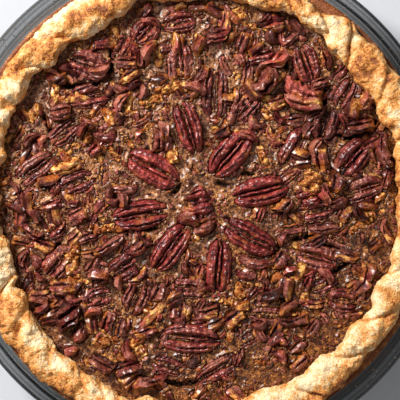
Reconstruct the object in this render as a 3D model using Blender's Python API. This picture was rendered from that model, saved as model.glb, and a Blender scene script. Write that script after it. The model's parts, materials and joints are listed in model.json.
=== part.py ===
"""A pecan pie in a clear glass pie plate, modelled as the real pieces at their real size.

The plate stands on z = 0 with its centre on the Z axis. It holds a pastry crust whose crimped
rim stands above the plate, a custard filling, and pecans that lie sunk in the filling's top.
Each piece is its own closed solid, with a small gap to the pieces that it touches.
"""

import math
import random
from collections import namedtuple

import bmesh
import bpy
from mathutils import Euler, Matrix, Vector

MM = 0.001

# The glass plate.
PLATE_RADIUS = 122 * MM
MOUTH_RADIUS = 114.4 * MM
INNER_BASE_RADIUS = 92 * MM
PLATE_HEIGHT = 35 * MM
GLASS_THICKNESS = 4.8 * MM
FLANGE_THICKNESS = 4.6 * MM
BASE_ROUNDING = 3 * MM
PLATE_STEPS = 52

# The pastry crust.
CLEARANCE = 0.4 * MM
CRUST_THICKNESS = 3.6 * MM
CRUST_FLOOR = GLASS_THICKNESS + CLEARANCE
LINING_TOP = 27 * MM
UNDER_ROLL_RADIUS = 101 * MM
UNDER_ROLL_HEIGHT = 26.5 * MM
ROLL_RADIUS = 102.4 * MM
ROLL_HALF_WIDTH = 6.4 * MM
ROLL_BASE = 34 * MM
ROLL_RISE = 8.2 * MM
CRIMP_SWELL = 1.8 * MM
CRIMP_LIFT = 1.8 * MM
CRIMP_WANDER = 1.2 * MM
CRIMP_SLANT = 5.0
CRIMP_SAMPLES = 3
ROLL_ARCH = (195, 150, 110, 70, 30, -15)
# Where one pinch of the pastry ends and the next begins, in degrees from +X.
PINCHES = (
    5, 18, 31, 45, 58, 66, 79, 92, 106, 119, 131, 143, 150, 159, 170,
    180, 189, 204, 214, 221, 228, 240, 251, 263, 275, 285, 295, 306, 314, 325, 340, 352,
)

# The filling.
FILLING_TOP = 31.2 * MM

# The pecans.
NUT_HEIGHT_TO_WIDTH = 0.5
NUT_SINK = 2.0 * MM
NUT_TILT = 4.0
POCKET_GAP = 0.35 * MM
NUT_STATIONS = (-0.78, -0.28, 0.28, 0.78)
WHOLE, SNAPPED, BROKEN = "whole", "snapped", "broken"

# A pecan's centre and sizes are in millimetres, its heading in degrees from +X towards +Y.
# A whole one tapers at both ends, a snapped one ends flat at its heading, a broken one at both.
Pecan = namedtuple("Pecan", "x y heading length width ends")
PECANS = (
    # The eight halves laid as petals, and the broken one between them.
    Pecan(-20.7, 15.0, -30, 28, 14.0, WHOLE),
    Pecan(-4.2, 34.8, -72, 27, 12.0, WHOLE),
    Pecan(15.6, 22.4, 50, 27, 14.5, WHOLE),
    Pecan(29.8, 4.4, 15, 28, 14.0, WHOLE),
    Pecan(25.2, -17.6, -28, 27, 13.0, WHOLE),
    Pecan(10.0, -31.4, 86, 27, 12.5, WHOLE),
    Pecan(-12.8, -22.8, 52, 27, 13.0, WHOLE),
    Pecan(-27.0, -6.6, 9, 28, 14.0, WHOLE),
    Pecan(0.0, -0.4, 8, 13, 14.0, BROKEN),
    # Around the petals, counter-clockwise from the right.
    Pecan(54.8, 9.6, 88, 14, 10.5, BROKEN),
    Pecan(45.0, 26.0, 60, 20, 9.0, WHOLE),
    Pecan(20.6, 42.8, 54, 15, 11.0, SNAPPED),
    Pecan(8.4, 51.0, 88, 26, 12.0, WHOLE),
    Pecan(-8.2, 67.0, -88, 18, 12.5, SNAPPED),
    Pecan(-22.8, 54.6, 27, 14, 7.0, BROKEN),
    Pecan(-44.2, 38.4, 36, 16, 8.5, BROKEN),
    Pecan(-57.5, 8.6, 22, 20, 11.0, WHOLE),
    Pecan(-36.6, -33.4, 30, 15, 12.0, SNAPPED),
    Pecan(-30.6, -48.4, 68, 17, 12.0, SNAPPED),
    Pecan(-5.2, -41.6, -6, 18, 9.5, SNAPPED),
    Pecan(29.6, -45.4, -3, 20, 8.0, WHOLE),
    Pecan(33.8, -55.2, -8, 20, 9.0, WHOLE),
    Pecan(56.4, -4.6, 8, 20, 10.5, WHOLE),
    # The outer ring, counter-clockwise from the right.
    Pecan(80.0, 5.4, 20, 20, 10.5, WHOLE),
    Pecan(74.4, 21.2, 50, 21, 13.0, WHOLE),
    Pecan(60.8, 36.6, 74, 18, 12.5, WHOLE),
    Pecan(70.4, 51.0, 62, 16, 9.0, WHOLE),
    Pecan(50.0, 51.8, -22, 23, 7.0, WHOLE),
    Pecan(51.6, 65.2, 108, 20, 12.0, WHOLE),
    Pecan(-8.6, 85.0, 12, 18, 10.0, WHOLE),
    Pecan(-24.8, 81.0, 48, 16, 12.0, WHOLE),
    Pecan(-52.0, 64.6, -20, 21, 13.0, WHOLE),
    Pecan(-53.0, 49.2, 12, 20, 11.5, SNAPPED),
    Pecan(-63.6, 32.6, 38, 18, 9.5, WHOLE),
    Pecan(-77.0, 15.4, 36, 22, 10.5, WHOLE),
    Pecan(-81.6, 0.6, 46, 16, 8.0, WHOLE),
    Pecan(-67.6, -31.0, 50, 13, 11.0, BROKEN),
    Pecan(-47.2, -46.2, 16, 15, 9.5, WHOLE),
    Pecan(-14.2, -79.0, -18, 18, 8.5, WHOLE),
    Pecan(-3.2, -66.0, -3, 29, 13.5, WHOLE),
    Pecan(9.8, -80.4, 32, 25, 9.5, WHOLE),
    Pecan(25.2, -66.2, 25, 17, 7.5, SNAPPED),
    Pecan(56.4, -27.2, -16, 21, 13.0, WHOLE),
    Pecan(60.2, -39.4, 27, 17, 7.5, WHOLE),
    Pecan(69.0, -47.4, -8, 15, 12.0, WHOLE),
    Pecan(67.2, -18.6, -24, 14, 8.0, WHOLE),
)


def clear_scene():
    """Removes whatever objects the scene starts with."""
    for obj in list(bpy.data.objects):
        bpy.data.objects.remove(obj)


def finish(name, colour, roughness):
    """A plain surface finish."""
    material = bpy.data.materials.new(name)
    material.use_nodes = True
    shader = material.node_tree.nodes["Principled BSDF"]
    shader.inputs["Base Color"].default_value = (*colour, 1.0)
    shader.inputs["Roughness"].default_value = roughness
    return material


def add_object(name, work, material, smooth_angle=40):
    """Turns a bmesh into an object with its finish and smooth shading, and frees the bmesh."""
    bmesh.ops.recalc_face_normals(work, faces=work.faces)
    mesh = bpy.data.meshes.new(name)
    work.to_mesh(mesh)
    work.free()
    mesh.materials.append(material)
    mesh.shade_smooth()
    mesh.set_sharp_from_angle(angle=math.radians(smooth_angle))
    obj = bpy.data.objects.new(name, mesh)
    bpy.context.scene.collection.objects.link(obj)
    return obj


def loft(rings, first_pole=None, last_pole=None):
    """A closed bmesh skinned over rings of points, each end drawn to a pole or capped flat.

    Every four-sided patch is split along the same diagonal, so that two pieces made over the
    same rings nest without touching.
    """
    work = bmesh.new()
    loops = [[work.verts.new(point) for point in ring] for ring in rings]
    count = len(rings[0])
    for lower, upper in zip(loops, loops[1:]):
        for i in range(count):
            j = (i + 1) % count
            work.faces.new((lower[i], lower[j], upper[j]))
            work.faces.new((lower[i], upper[j], upper[i]))
    for loop, pole in ((loops[0], first_pole), (loops[-1], last_pole)):
        if pole is None:
            work.faces.new(loop)
            continue
        tip = work.verts.new(pole)
        for i in range(count):
            work.faces.new((loop[i], loop[(i + 1) % count], tip))
    return work


def polar(angle, radius, height):
    """The point at an angle in degrees, a radius and a height."""
    turn = math.radians(angle)
    return Vector((radius * math.cos(turn), radius * math.sin(turn), height))


def inner_wall(height):
    """The radius of the plate's inner wall at a height."""
    share = (height - GLASS_THICKNESS) / (PLATE_HEIGHT - GLASS_THICKNESS)
    return INNER_BASE_RADIUS + share * (MOUTH_RADIUS - INNER_BASE_RADIUS)


def make_plate(material):
    """The glass plate: a flat base, a sloping wall and a flat flange with a rounded edge."""
    underside = PLATE_HEIGHT - FLANGE_THICKNESS
    edge = FLANGE_THICKNESS / 2
    profile = (
        (INNER_BASE_RADIUS - BASE_ROUNDING / 2, 0),
        (INNER_BASE_RADIUS + BASE_ROUNDING / 2, BASE_ROUNDING / 3),
        (INNER_BASE_RADIUS + BASE_ROUNDING, BASE_ROUNDING),
        (inner_wall(underside) + GLASS_THICKNESS, underside),
        (PLATE_RADIUS - edge / 2, underside),
        (PLATE_RADIUS, underside + edge * 0.6),
        (PLATE_RADIUS, PLATE_HEIGHT - edge * 0.6),
        (PLATE_RADIUS - edge / 2, PLATE_HEIGHT),
        (MOUTH_RADIUS + 1 * MM, PLATE_HEIGHT),
        (inner_wall(PLATE_HEIGHT - 1.4 * MM), PLATE_HEIGHT - 1.4 * MM),
        (inner_wall(GLASS_THICKNESS + 1 * MM), GLASS_THICKNESS + 1 * MM),
        (INNER_BASE_RADIUS - 1.5 * MM, GLASS_THICKNESS),
    )
    step = 360 / PLATE_STEPS
    rings = [[polar(i * step, radius, height) for i in range(PLATE_STEPS)] for radius, height in profile]
    work = loft(rings, first_pole=(0, 0, 0), last_pole=(0, 0, GLASS_THICKNESS))
    return add_object("dish", work, material)


def crimp_angles():
    """The angles at which the crust is cut into sections: several for each pinch."""
    ends = PINCHES[1:] + (PINCHES[0] + 360,)
    return [
        start + (end - start) * k / CRIMP_SAMPLES
        for start, end in zip(PINCHES, ends)
        for k in range(CRIMP_SAMPLES)
    ]


def crimp(angle):
    """(swell, wander) of the crimp at an angle: swell is 0 at a pinch and 1 between two of them."""
    angle = (angle - PINCHES[0]) % 360 + PINCHES[0]
    ends = PINCHES[1:] + (PINCHES[0] + 360,)
    for number, (start, end) in enumerate(zip(PINCHES, ends)):
        if start <= angle < end:
            swell = math.sin(math.pi * (angle - start) / (end - start)) ** 0.7
            return swell, random.Random(number).uniform(-1, 1) * swell
    return 0.0, 0.0


def roll_point(angle, arch):
    """The point of the crust's rolled rim at an angle round the pie and an angle over its arch."""
    swell, wander = crimp(angle + CRIMP_SLANT * (arch - 90) / 105)
    half_width = ROLL_HALF_WIDTH + CRIMP_SWELL * swell
    rise = ROLL_RISE + CRIMP_LIFT * swell
    turn = math.radians(arch)
    radius = ROLL_RADIUS + CRIMP_WANDER * wander - half_width * math.cos(turn)
    return polar(angle, radius, ROLL_BASE + rise * math.sin(turn))


def make_crust(material):
    """The pastry: a floor and a wall that line the plate, and the crimped roll on top."""
    top = CRUST_FLOOR + CRUST_THICKNESS
    angles = crimp_angles()
    corner = inner_wall(CRUST_FLOOR + 1 * MM) - CLEARANCE
    rings = [
        [polar(a, corner - 3 * MM, CRUST_FLOOR) for a in angles],
        [polar(a, corner, CRUST_FLOOR + 1 * MM) for a in angles],
        [polar(a, inner_wall(LINING_TOP) - CLEARANCE, LINING_TOP) for a in angles],
    ]
    rings += [[roll_point(a, arch) for a in angles] for arch in ROLL_ARCH]
    rings += [
        [polar(a, UNDER_ROLL_RADIUS, UNDER_ROLL_HEIGHT) for a in angles],
        [polar(a, inner_wall(top) - CRUST_THICKNESS - 2 * MM, top) for a in angles],
    ]
    work = loft(rings, first_pole=(0, 0, CRUST_FLOOR), last_pole=(0, 0, top))
    return add_object("crust", work, material, smooth_angle=60)


def make_filling(material, cutters):
    """The custard: it fills the crust up to the roll, and has a pocket for each pecan."""
    base = CRUST_FLOOR + CRUST_THICKNESS + CLEARANCE
    # Its rings run from the base up and the crust's from the rim down, so these go round backwards.
    angles = crimp_angles()[::-1]
    inset = CLEARANCE * 0.8
    corner = inner_wall(base - CLEARANCE) - CRUST_THICKNESS - 2 * MM
    rings = [
        [polar(a, corner - inset, base) for a in angles],
        [polar(a, UNDER_ROLL_RADIUS - inset, UNDER_ROLL_HEIGHT - inset) for a in angles],
    ]
    foot = []
    for a in angles:
        point = roll_point(a, ROLL_ARCH[-1])
        foot.append(polar(a, point.xy.length - 2 * inset, FILLING_TOP))
    rings.append(foot)
    work = loft(rings, first_pole=(0, 0, base))
    filling = add_object("filling", work, material)
    cut = filling.modifiers.new("pecan pockets", "BOOLEAN")
    cut.operation = "DIFFERENCE"
    cut.solver = "EXACT"
    cut.operand_type = "COLLECTION"
    cut.collection = cutters
    return filling


def nut_section(x, half_width, height):
    """One section across a pecan half: a flat belly, round flanks and two ridges with a groove between."""
    outline = (
        (-0.62, 0), (0.62, 0), (1, 0.34), (0.72, 0.84),
        (0.3, 1), (0, 0.78), (-0.3, 1), (-0.72, 0.84), (-1, 0.34),
    )
    return [Vector((x, y * half_width, z * height)) for y, z in outline]


def nut_stations(half_length, ends):
    """Where a pecan half is cut across its length: (x, taper) pairs from its start to its end."""
    first, last = NUT_STATIONS[0], NUT_STATIONS[-1]
    stations = []
    for share in NUT_STATIONS:
        if (share == last and ends != WHOLE) or (share == first and ends == BROKEN):
            stations.append((math.copysign(half_length, share), 0.9))
        else:
            stations.append((share * half_length, (1 - abs(share) ** 2.4) ** 0.5))
    return stations


def nut_mesh(length, width, ends):
    """A pecan half lying on its belly along X."""
    height = width * NUT_HEIGHT_TO_WIDTH
    rings = [
        nut_section(x, width / 2 * taper, height * (0.25 + 0.75 * taper))
        for x, taper in nut_stations(length / 2, ends)
    ]
    start_tip = None if ends == BROKEN else (-length / 2, 0, height * 0.3)
    end_tip = (length / 2, 0, height * 0.3) if ends == WHOLE else None
    return loft(rings, first_pole=start_tip, last_pole=end_tip)


def pocket_mesh(length, width, ends):
    """The pocket for a pecan half: its outline seen from above, with a gap all round and below."""
    half_length = length / 2 + POCKET_GAP
    side = [
        (x, (width / 2 + POCKET_GAP) * taper + POCKET_GAP * (1 - taper))
        for x, taper in nut_stations(half_length, ends)
    ]
    outline = side + [(x, -y) for x, y in reversed(side)]
    if ends == WHOLE:
        outline.insert(len(side), (half_length, 0))
    if ends != BROKEN:
        outline.append((-half_length, 0))
    levels = (-POCKET_GAP, width * NUT_HEIGHT_TO_WIDTH * 1.5)
    return loft([[Vector((x, y, z)) for x, y in outline] for z in levels])


def nut_placement(number, pecan):
    """The matrix that sinks a pecan into the filling at its place, turned and a little tilted."""
    tilts = random.Random(100 + number)
    turn = Euler((
        math.radians(tilts.uniform(-NUT_TILT, NUT_TILT)),
        math.radians(tilts.uniform(-NUT_TILT, NUT_TILT)),
        math.radians(pecan.heading),
    ))
    place = (pecan.x * MM, pecan.y * MM, FILLING_TOP - NUT_SINK)
    return Matrix.Translation(place) @ turn.to_matrix().to_4x4()


def make_pecans(material, cutters):
    """Every pecan as its own object, and a slightly larger cutter for its pocket in the filling."""
    for number, pecan in enumerate(PECANS, start=1):
        placement = nut_placement(number, pecan)
        size = (pecan.length * MM, pecan.width * MM, pecan.ends)
        nut = add_object(f"pecan_{number:02d}", nut_mesh(*size), material)
        nut.matrix_world = placement
        cutter = add_object(f"pocket_{number:02d}", pocket_mesh(*size), material)
        cutter.matrix_world = placement
        cutter.hide_render = True
        cutter.display_type = "WIRE"
        bpy.context.scene.collection.objects.unlink(cutter)
        cutters.objects.link(cutter)


def main():
    """Builds the pie."""
    clear_scene()
    glass = finish("clear glass", (0.62, 0.68, 0.68), 0.05)
    pastry = finish("baked pastry", (0.72, 0.46, 0.22), 0.6)
    custard = finish("baked custard", (0.22, 0.1, 0.05), 0.4)
    nut_skin = finish("glazed pecan", (0.2, 0.055, 0.035), 0.3)
    cutters = bpy.data.collections.new("pecan pockets")
    bpy.context.scene.collection.children.link(cutters)
    make_plate(glass)
    make_crust(pastry)
    make_pecans(nut_skin, cutters)
    make_filling(custard, cutters)


main()
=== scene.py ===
"""The look of a pecan pie in its glass plate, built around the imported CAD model.

The plate, the pastry, the custard and every pecan of the CAD model are replaced by detailed
pieces in the same places. Chopped pecans, small bits and crumbs are added, which are too small
for the CAD model. Sizes are in metres, and angles are in degrees from +X towards +Y.
"""

import itertools
import json
import logging
import math
import random
from dataclasses import dataclass
from enum import Enum

import bmesh
import bpy
import numpy as np
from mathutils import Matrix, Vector

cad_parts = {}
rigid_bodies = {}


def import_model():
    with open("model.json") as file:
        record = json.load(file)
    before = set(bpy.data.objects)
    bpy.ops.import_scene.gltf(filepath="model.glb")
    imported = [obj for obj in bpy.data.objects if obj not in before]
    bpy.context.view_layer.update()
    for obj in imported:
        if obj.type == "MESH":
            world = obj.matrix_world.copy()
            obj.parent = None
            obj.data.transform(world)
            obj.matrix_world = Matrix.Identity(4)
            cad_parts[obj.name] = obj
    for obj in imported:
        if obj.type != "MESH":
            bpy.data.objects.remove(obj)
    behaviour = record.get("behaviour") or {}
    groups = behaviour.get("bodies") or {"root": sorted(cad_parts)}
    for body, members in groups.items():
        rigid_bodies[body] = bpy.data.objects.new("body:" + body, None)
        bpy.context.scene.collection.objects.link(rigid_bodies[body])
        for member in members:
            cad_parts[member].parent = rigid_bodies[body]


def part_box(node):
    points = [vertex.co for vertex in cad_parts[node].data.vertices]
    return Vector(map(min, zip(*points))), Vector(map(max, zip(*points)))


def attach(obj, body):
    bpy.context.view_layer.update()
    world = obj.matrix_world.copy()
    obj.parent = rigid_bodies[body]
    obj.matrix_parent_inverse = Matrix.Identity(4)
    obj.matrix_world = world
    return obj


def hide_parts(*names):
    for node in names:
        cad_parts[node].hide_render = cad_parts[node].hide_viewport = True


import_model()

MM = 0.001
BODY = "root"
WELD = 0.01 * MM
NUT_SEARCH = 20 * MM
Array = np.ndarray
Material = bpy.types.Material
Object = bpy.types.Object
Place = tuple[float, float, float] | Array
Socket = bpy.types.NodeSocket
Tree = bpy.types.NodeTree

log = logging.getLogger("pecan_pie")


# ---------------------------------------------------------------- noise and meshes


def lattice_noise(points: Array, seed: int) -> Array:
    """Smooth noise between about -1 and 1.

    Args:
        points: Where to read it, one row of x, y, z for each point, in cells of the noise.
        seed: Which noise it is.

    Returns:
        One value for each point.
    """
    cell = np.floor(points).astype(np.int64)
    offset = points - cell
    fade = offset**3 * (offset * (offset * 6 - 15) + 10)
    total = np.zeros(len(points))
    for corner in itertools.product((0, 1), repeat=3):
        key = (cell + corner) @ np.array((73856093, 19349663, 83492791)) + seed * 265443576
        key = (key ^ (key >> 13)) * 1274126177
        key ^= key >> 16
        gradient = np.stack([((key >> shift) & 1023) / 511.5 - 1 for shift in (0, 10, 20)], axis=1)
        weight = np.prod(np.where(corner, fade, 1 - fade), axis=1)
        total += weight * np.einsum("ij,ij->i", gradient, offset - corner)
    return total * 1.2


def layered_noise(points: Array, size: float, seed: int, layers: int = 3) -> Array:
    """Noise with finer noise on top of it.

    Args:
        points: Where to read it, in metres.
        size: The width of the largest lumps, in metres.
        seed: Which noise it is.
        layers: How many noises are summed, each half as large and half as strong as the last.

    Returns:
        One value for each point, between about -1 and 1.
    """
    total = np.zeros(len(points))
    for layer in range(layers):
        total += lattice_noise(points / size * 2**layer, seed + 31 * layer) * 0.5**layer
    return total


def smooth_step(value: Array, low: float, high: float) -> Array:
    """0 below low, 1 above high, and an S-shaped rise between them.

    Args:
        value: What rises.
        low: Where the rise starts.
        high: Where it ends.

    Returns:
        The share, 0 to 1.
    """
    share = np.clip((value - low) / (high - low), 0, 1)
    return share * share * (3 - 2 * share)


def added(name: str, data: bpy.types.ID) -> Object:
    """A new object in the scene, at the origin."""
    obj = bpy.data.objects.new(name, data)
    bpy.context.scene.collection.objects.link(obj)
    return obj


def faced_outwards(mesh: bpy.types.Mesh, merge: float = 0.0) -> None:
    """Turns a mesh's faces outwards and shades it smooth.

    Args:
        mesh: The mesh.
        merge: The distance below which points are merged first, or 0 for none.
    """
    work = bmesh.new()
    work.from_mesh(mesh)
    if merge:
        bmesh.ops.remove_doubles(work, verts=work.verts, dist=merge)
    bmesh.ops.recalc_face_normals(work, faces=work.faces)
    work.to_mesh(mesh)
    work.free()
    mesh.shade_smooth()


@dataclass
class Solid:
    """A mesh in the making: points, faces and one value a point for each named attribute."""

    points: Array
    faces: list[tuple[int, ...]]
    attributes: dict[str, Array]

    @staticmethod
    def loft(loops: Array, attributes: dict[str, Array], poles: tuple[Place, Place]) -> "Solid":
        """A closed skin over a stack of closed loops, drawn to a pole at each end.

        Args:
            loops: The loops' points, as an array of loops by points by 3.
            attributes: Values for the loops' points, each an array of loops by points.
            poles: The points that close the first and the last loop.

        Returns:
            The solid.
        """
        count, around = loops.shape[:2]
        points = np.concatenate([loops.reshape(-1, 3), np.array(poles, dtype=float)])
        here = np.arange(around)
        after = (here + 1) % around
        faces = []
        for row in range(count - 1):
            low, high = row * around, (row + 1) * around
            faces += zip(low + here, low + after, high + after, high + here)
        first, last = count * around, count * around + 1
        end = (count - 1) * around
        faces += zip(after, here, np.full(around, first))
        faces += zip(end + here, end + after, np.full(around, last))
        values = {
            name: np.concatenate([value.reshape(-1), (value[0].mean(), value[-1].mean())])
            for name, value in attributes.items()
        }
        return Solid(points, [tuple(int(i) for i in face) for face in faces], values)

    @staticmethod
    def joined(solids: list["Solid"]) -> "Solid":
        """Several solids as one, with the same attributes.

        Args:
            solids: The solids.

        Returns:
            The one solid.
        """
        points = np.concatenate([solid.points for solid in solids])
        faces, start = [], 0
        for solid in solids:
            faces += [tuple(i + start for i in face) for face in solid.faces]
            start += len(solid.points)
        names = solids[0].attributes
        values = {name: np.concatenate([solid.attributes[name] for solid in solids]) for name in names}
        return Solid(points, faces, values)

    def piece(self, name: str, material: Material, merge: float = 0.0) -> Object:
        """Makes the solid a smooth-shaded object.

        Args:
            name: The object's name.
            material: Its finish.
            merge: The distance below which points are merged, or 0 for none.

        Returns:
            The object, at the origin.
        """
        mesh = bpy.data.meshes.new(name)
        mesh.from_pydata(self.points.tolist(), [], self.faces)
        for key, value in self.attributes.items():
            layer = mesh.attributes.new(key, "FLOAT", "POINT")
            layer.data.foreach_set("value", value.astype(np.float32))
        faced_outwards(mesh, merge)
        mesh.materials.append(material)
        return added(name, mesh)


# ---------------------------------------------------------------- node building


class Wiring:
    """Adds nodes to a tree and joins them."""

    def __init__(self, tree: Tree) -> None:
        """Wraps the tree."""
        self.tree = tree

    def node(self, kind: str, inputs: dict | None = None, **settings: object) -> bpy.types.Node:
        """Adds a node.

        Args:
            kind: The node's Blender type.
            inputs: A plain value or another node's output for each input, by name or number.
            settings: The node's own properties.

        Returns:
            The node.
        """
        node = self.tree.nodes.new(kind)
        for key, value in settings.items():
            setattr(node, key, value)
        for key, value in (inputs or {}).items():
            socket = node.inputs[key]
            if isinstance(value, Socket):
                self.tree.links.new(value, socket)
            else:
                socket.default_value = value
        return node

    def math(self, operation: str, *values: object, clamp: bool = False) -> Socket:
        """The result of one sum on values or sockets."""
        kind = "ShaderNodeMath"
        return self.node(kind, dict(enumerate(values)), operation=operation, use_clamp=clamp).outputs[0]

    def times(self, first: object, second: object, clamp: bool = False) -> Socket:
        """The product of two values or sockets."""
        return self.math("MULTIPLY", first, second, clamp=clamp)

    def plus(self, first: object, second: object, clamp: bool = False) -> Socket:
        """The sum of two values or sockets."""
        return self.math("ADD", first, second, clamp=clamp)

    def line(self, value: object, rise: object, start: object) -> Socket:
        """A value times its rise, on top of a start."""
        return self.math("MULTIPLY_ADD", value, rise, start)

    def ramp(self, value: Socket, stops: tuple) -> Socket:
        """A colour ramp.

        Args:
            value: What it reads.
            stops: (position, colour) pairs in order.

        Returns:
            Its colour output.
        """
        node = self.node("ShaderNodeValToRGB", {0: value})
        ramp = node.color_ramp
        while len(ramp.elements) < len(stops):
            ramp.elements.new(0.5)
        for element, (position, colour) in zip(ramp.elements, stops):
            element.position = position
            element.color = (*colour, 1.0)
        return node.outputs["Color"]

    def blend(self, share: object, first: object, second: object) -> Socket:
        """Mixes two colours by a share of 0 to 1.

        Args:
            share: How much of the second shows.
            first: A colour or a socket.
            second: A colour or a socket.

        Returns:
            The mixed colour.
        """
        node = self.node("ShaderNodeMix", data_type="RGBA")
        for key, value in ((0, share), (6, first), (7, second)):
            if isinstance(value, Socket):
                self.tree.links.new(value, node.inputs[key])
            elif key == 0:
                node.inputs[key].default_value = value
            else:
                node.inputs[key].default_value = (*value, 1.0)
        return node.outputs[2]


class Growth(Wiring):
    """A Geometry Nodes tree with named inputs, which ends by joining its pieces and dressing them."""

    def __init__(self, name: str, inputs: dict[str, float | int | str]) -> None:
        """Starts the tree, with a geometry and a material among its inputs.

        Args:
            name: Its name.
            inputs: The default of each number input, or the kind of another input, by name.
        """
        super().__init__(bpy.data.node_groups.new(name, "GeometryNodeTree"))
        sockets = self.tree.interface
        for key, value in ({"Geometry": "Geometry"} | inputs | {"Material": "Material"}).items():
            kind = value if isinstance(value, str) else type(value).__name__.capitalize()
            socket = sockets.new_socket(key, in_out="INPUT", socket_type=f"NodeSocket{kind}")
            if not isinstance(value, str):
                socket.default_value = value
        sockets.new_socket("Geometry", in_out="OUTPUT", socket_type="NodeSocketGeometry")
        self.given = self.node("NodeGroupInput").outputs

    def read(self, name: str) -> Socket:
        """The number stored at each point under a name."""
        return self.node("GeometryNodeInputNamedAttribute", {"Name": name}, data_type="FLOAT").outputs[0]

    def store(
        self, geometry: Socket, name: str, value: Socket, domain: str = "POINT"
    ) -> Socket:
        """The geometry with a number stored under a name at each point or instance.

        Args:
            geometry: The geometry.
            name: The name.
            value: The number.
            domain: POINT or INSTANCE.

        Returns:
            The geometry.
        """
        inputs = {"Geometry": geometry, "Name": name, "Value": value}
        return self.node(
            "GeometryNodeStoreNamedAttribute", inputs, data_type="FLOAT", domain=domain
        ).outputs[0]

    def vector(self, **parts: object) -> Socket:
        """A vector of X, Y and Z, each 0 unless it is given."""
        return self.node("ShaderNodeCombineXYZ", parts).outputs[0]

    def chance(self, low: object, high: object, seed: int) -> Socket:
        """A random number between two for each point or instance."""
        inputs = {2: low, 3: high, "Seed": seed}
        return self.node("FunctionNodeRandomValue", inputs, data_type="FLOAT").outputs[1]

    def nuts(self) -> Socket:
        """The nuts' geometry."""
        return self.node("GeometryNodeObjectInfo", {"Object": self.given["Nuts"]}).outputs["Geometry"]

    def covered(self, nuts: Socket) -> Socket:
        """1 where a nut lies straight above a point, or else 0."""
        inputs = {"Target Geometry": nuts, "Ray Direction": (0, 0, 1), "Ray Length": NUT_SEARCH}
        return self.node("GeometryNodeRaycast", inputs).outputs["Is Hit"]

    def finished(self, geometry: Socket) -> Tree:
        """Joins the geometry's instances, sets its material and gives the tree.

        Args:
            geometry: What the tree puts out.

        Returns:
            The tree.
        """
        whole = self.node("GeometryNodeRealizeInstances", {"Geometry": geometry})
        inputs = {"Geometry": whole.outputs[0], "Material": self.given["Material"]}
        dressed = self.node("GeometryNodeSetMaterial", inputs)
        self.tree.links.new(dressed.outputs[0], self.node("NodeGroupOutput").inputs[0])
        return self.tree


class EffectLibrary:
    """The node groups that more than one finish uses, each built once."""

    def __init__(self) -> None:
        """Builds the groups."""
        self.speckle = self._speckle()
        self.crinkle = self._crinkle()

    @staticmethod
    def _group(name: str, inputs: dict[str, float], output: tuple[str, str]) -> tuple:
        """A shader group with named inputs and one output.

        Args:
            name: The group's name.
            inputs: The default of each number input.
            output: The output's name and socket type.

        Returns:
            The tree, its wiring, what it is given and what it puts out.
        """
        tree = bpy.data.node_groups.new(name, "ShaderNodeTree")
        for key, value in inputs.items():
            socket = tree.interface.new_socket(key, in_out="INPUT", socket_type="NodeSocketFloat")
            socket.default_value = value
        tree.interface.new_socket(output[0], in_out="OUTPUT", socket_type=output[1])
        wiring = Wiring(tree)
        given, put_out = wiring.node("NodeGroupInput").outputs, wiring.node("NodeGroupOutput").inputs
        return tree, wiring, given, put_out

    def _speckle(self) -> Tree:
        """Patches with soft or hard edges, as a mask of 0 to 1."""
        inputs = {"Scale": 100.0, "Detail": 3.0, "Low": 0.4, "High": 0.6}
        tree, wiring, source, sink = self._group("speckle", inputs, ("Mask", "NodeSocketFloat"))
        noise = self._noise(wiring, source["Scale"], source["Detail"])
        edges = {"Value": noise, 1: source["Low"], 2: source["High"]}
        spread = wiring.node("ShaderNodeMapRange", edges, interpolation_type="SMOOTHSTEP")
        tree.links.new(spread.outputs[0], sink["Mask"])
        return tree

    def _crinkle(self) -> Tree:
        """The fine relief of a baked or glazed surface, as a normal."""
        inputs = {"Scale": 900.0, "Strength": 0.5, "Depth": 0.4 * MM}
        tree, wiring, source, sink = self._group("crinkle", inputs, ("Normal", "NodeSocketVector"))
        relief = {
            "Strength": source["Strength"],
            "Distance": source["Depth"],
            "Height": self._noise(wiring, source["Scale"], 4.0),
        }
        tree.links.new(wiring.node("ShaderNodeBump", relief).outputs[0], sink["Normal"])
        return tree

    @staticmethod
    def _noise(wiring: Wiring, scale: object, detail: object) -> Socket:
        """Noise on the piece's own coordinates."""
        place = wiring.node("ShaderNodeTexCoord").outputs["Object"]
        inputs = {"Vector": place, "Scale": scale, "Detail": detail}
        return wiring.node("ShaderNodeTexNoise", inputs).outputs[0]


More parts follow.
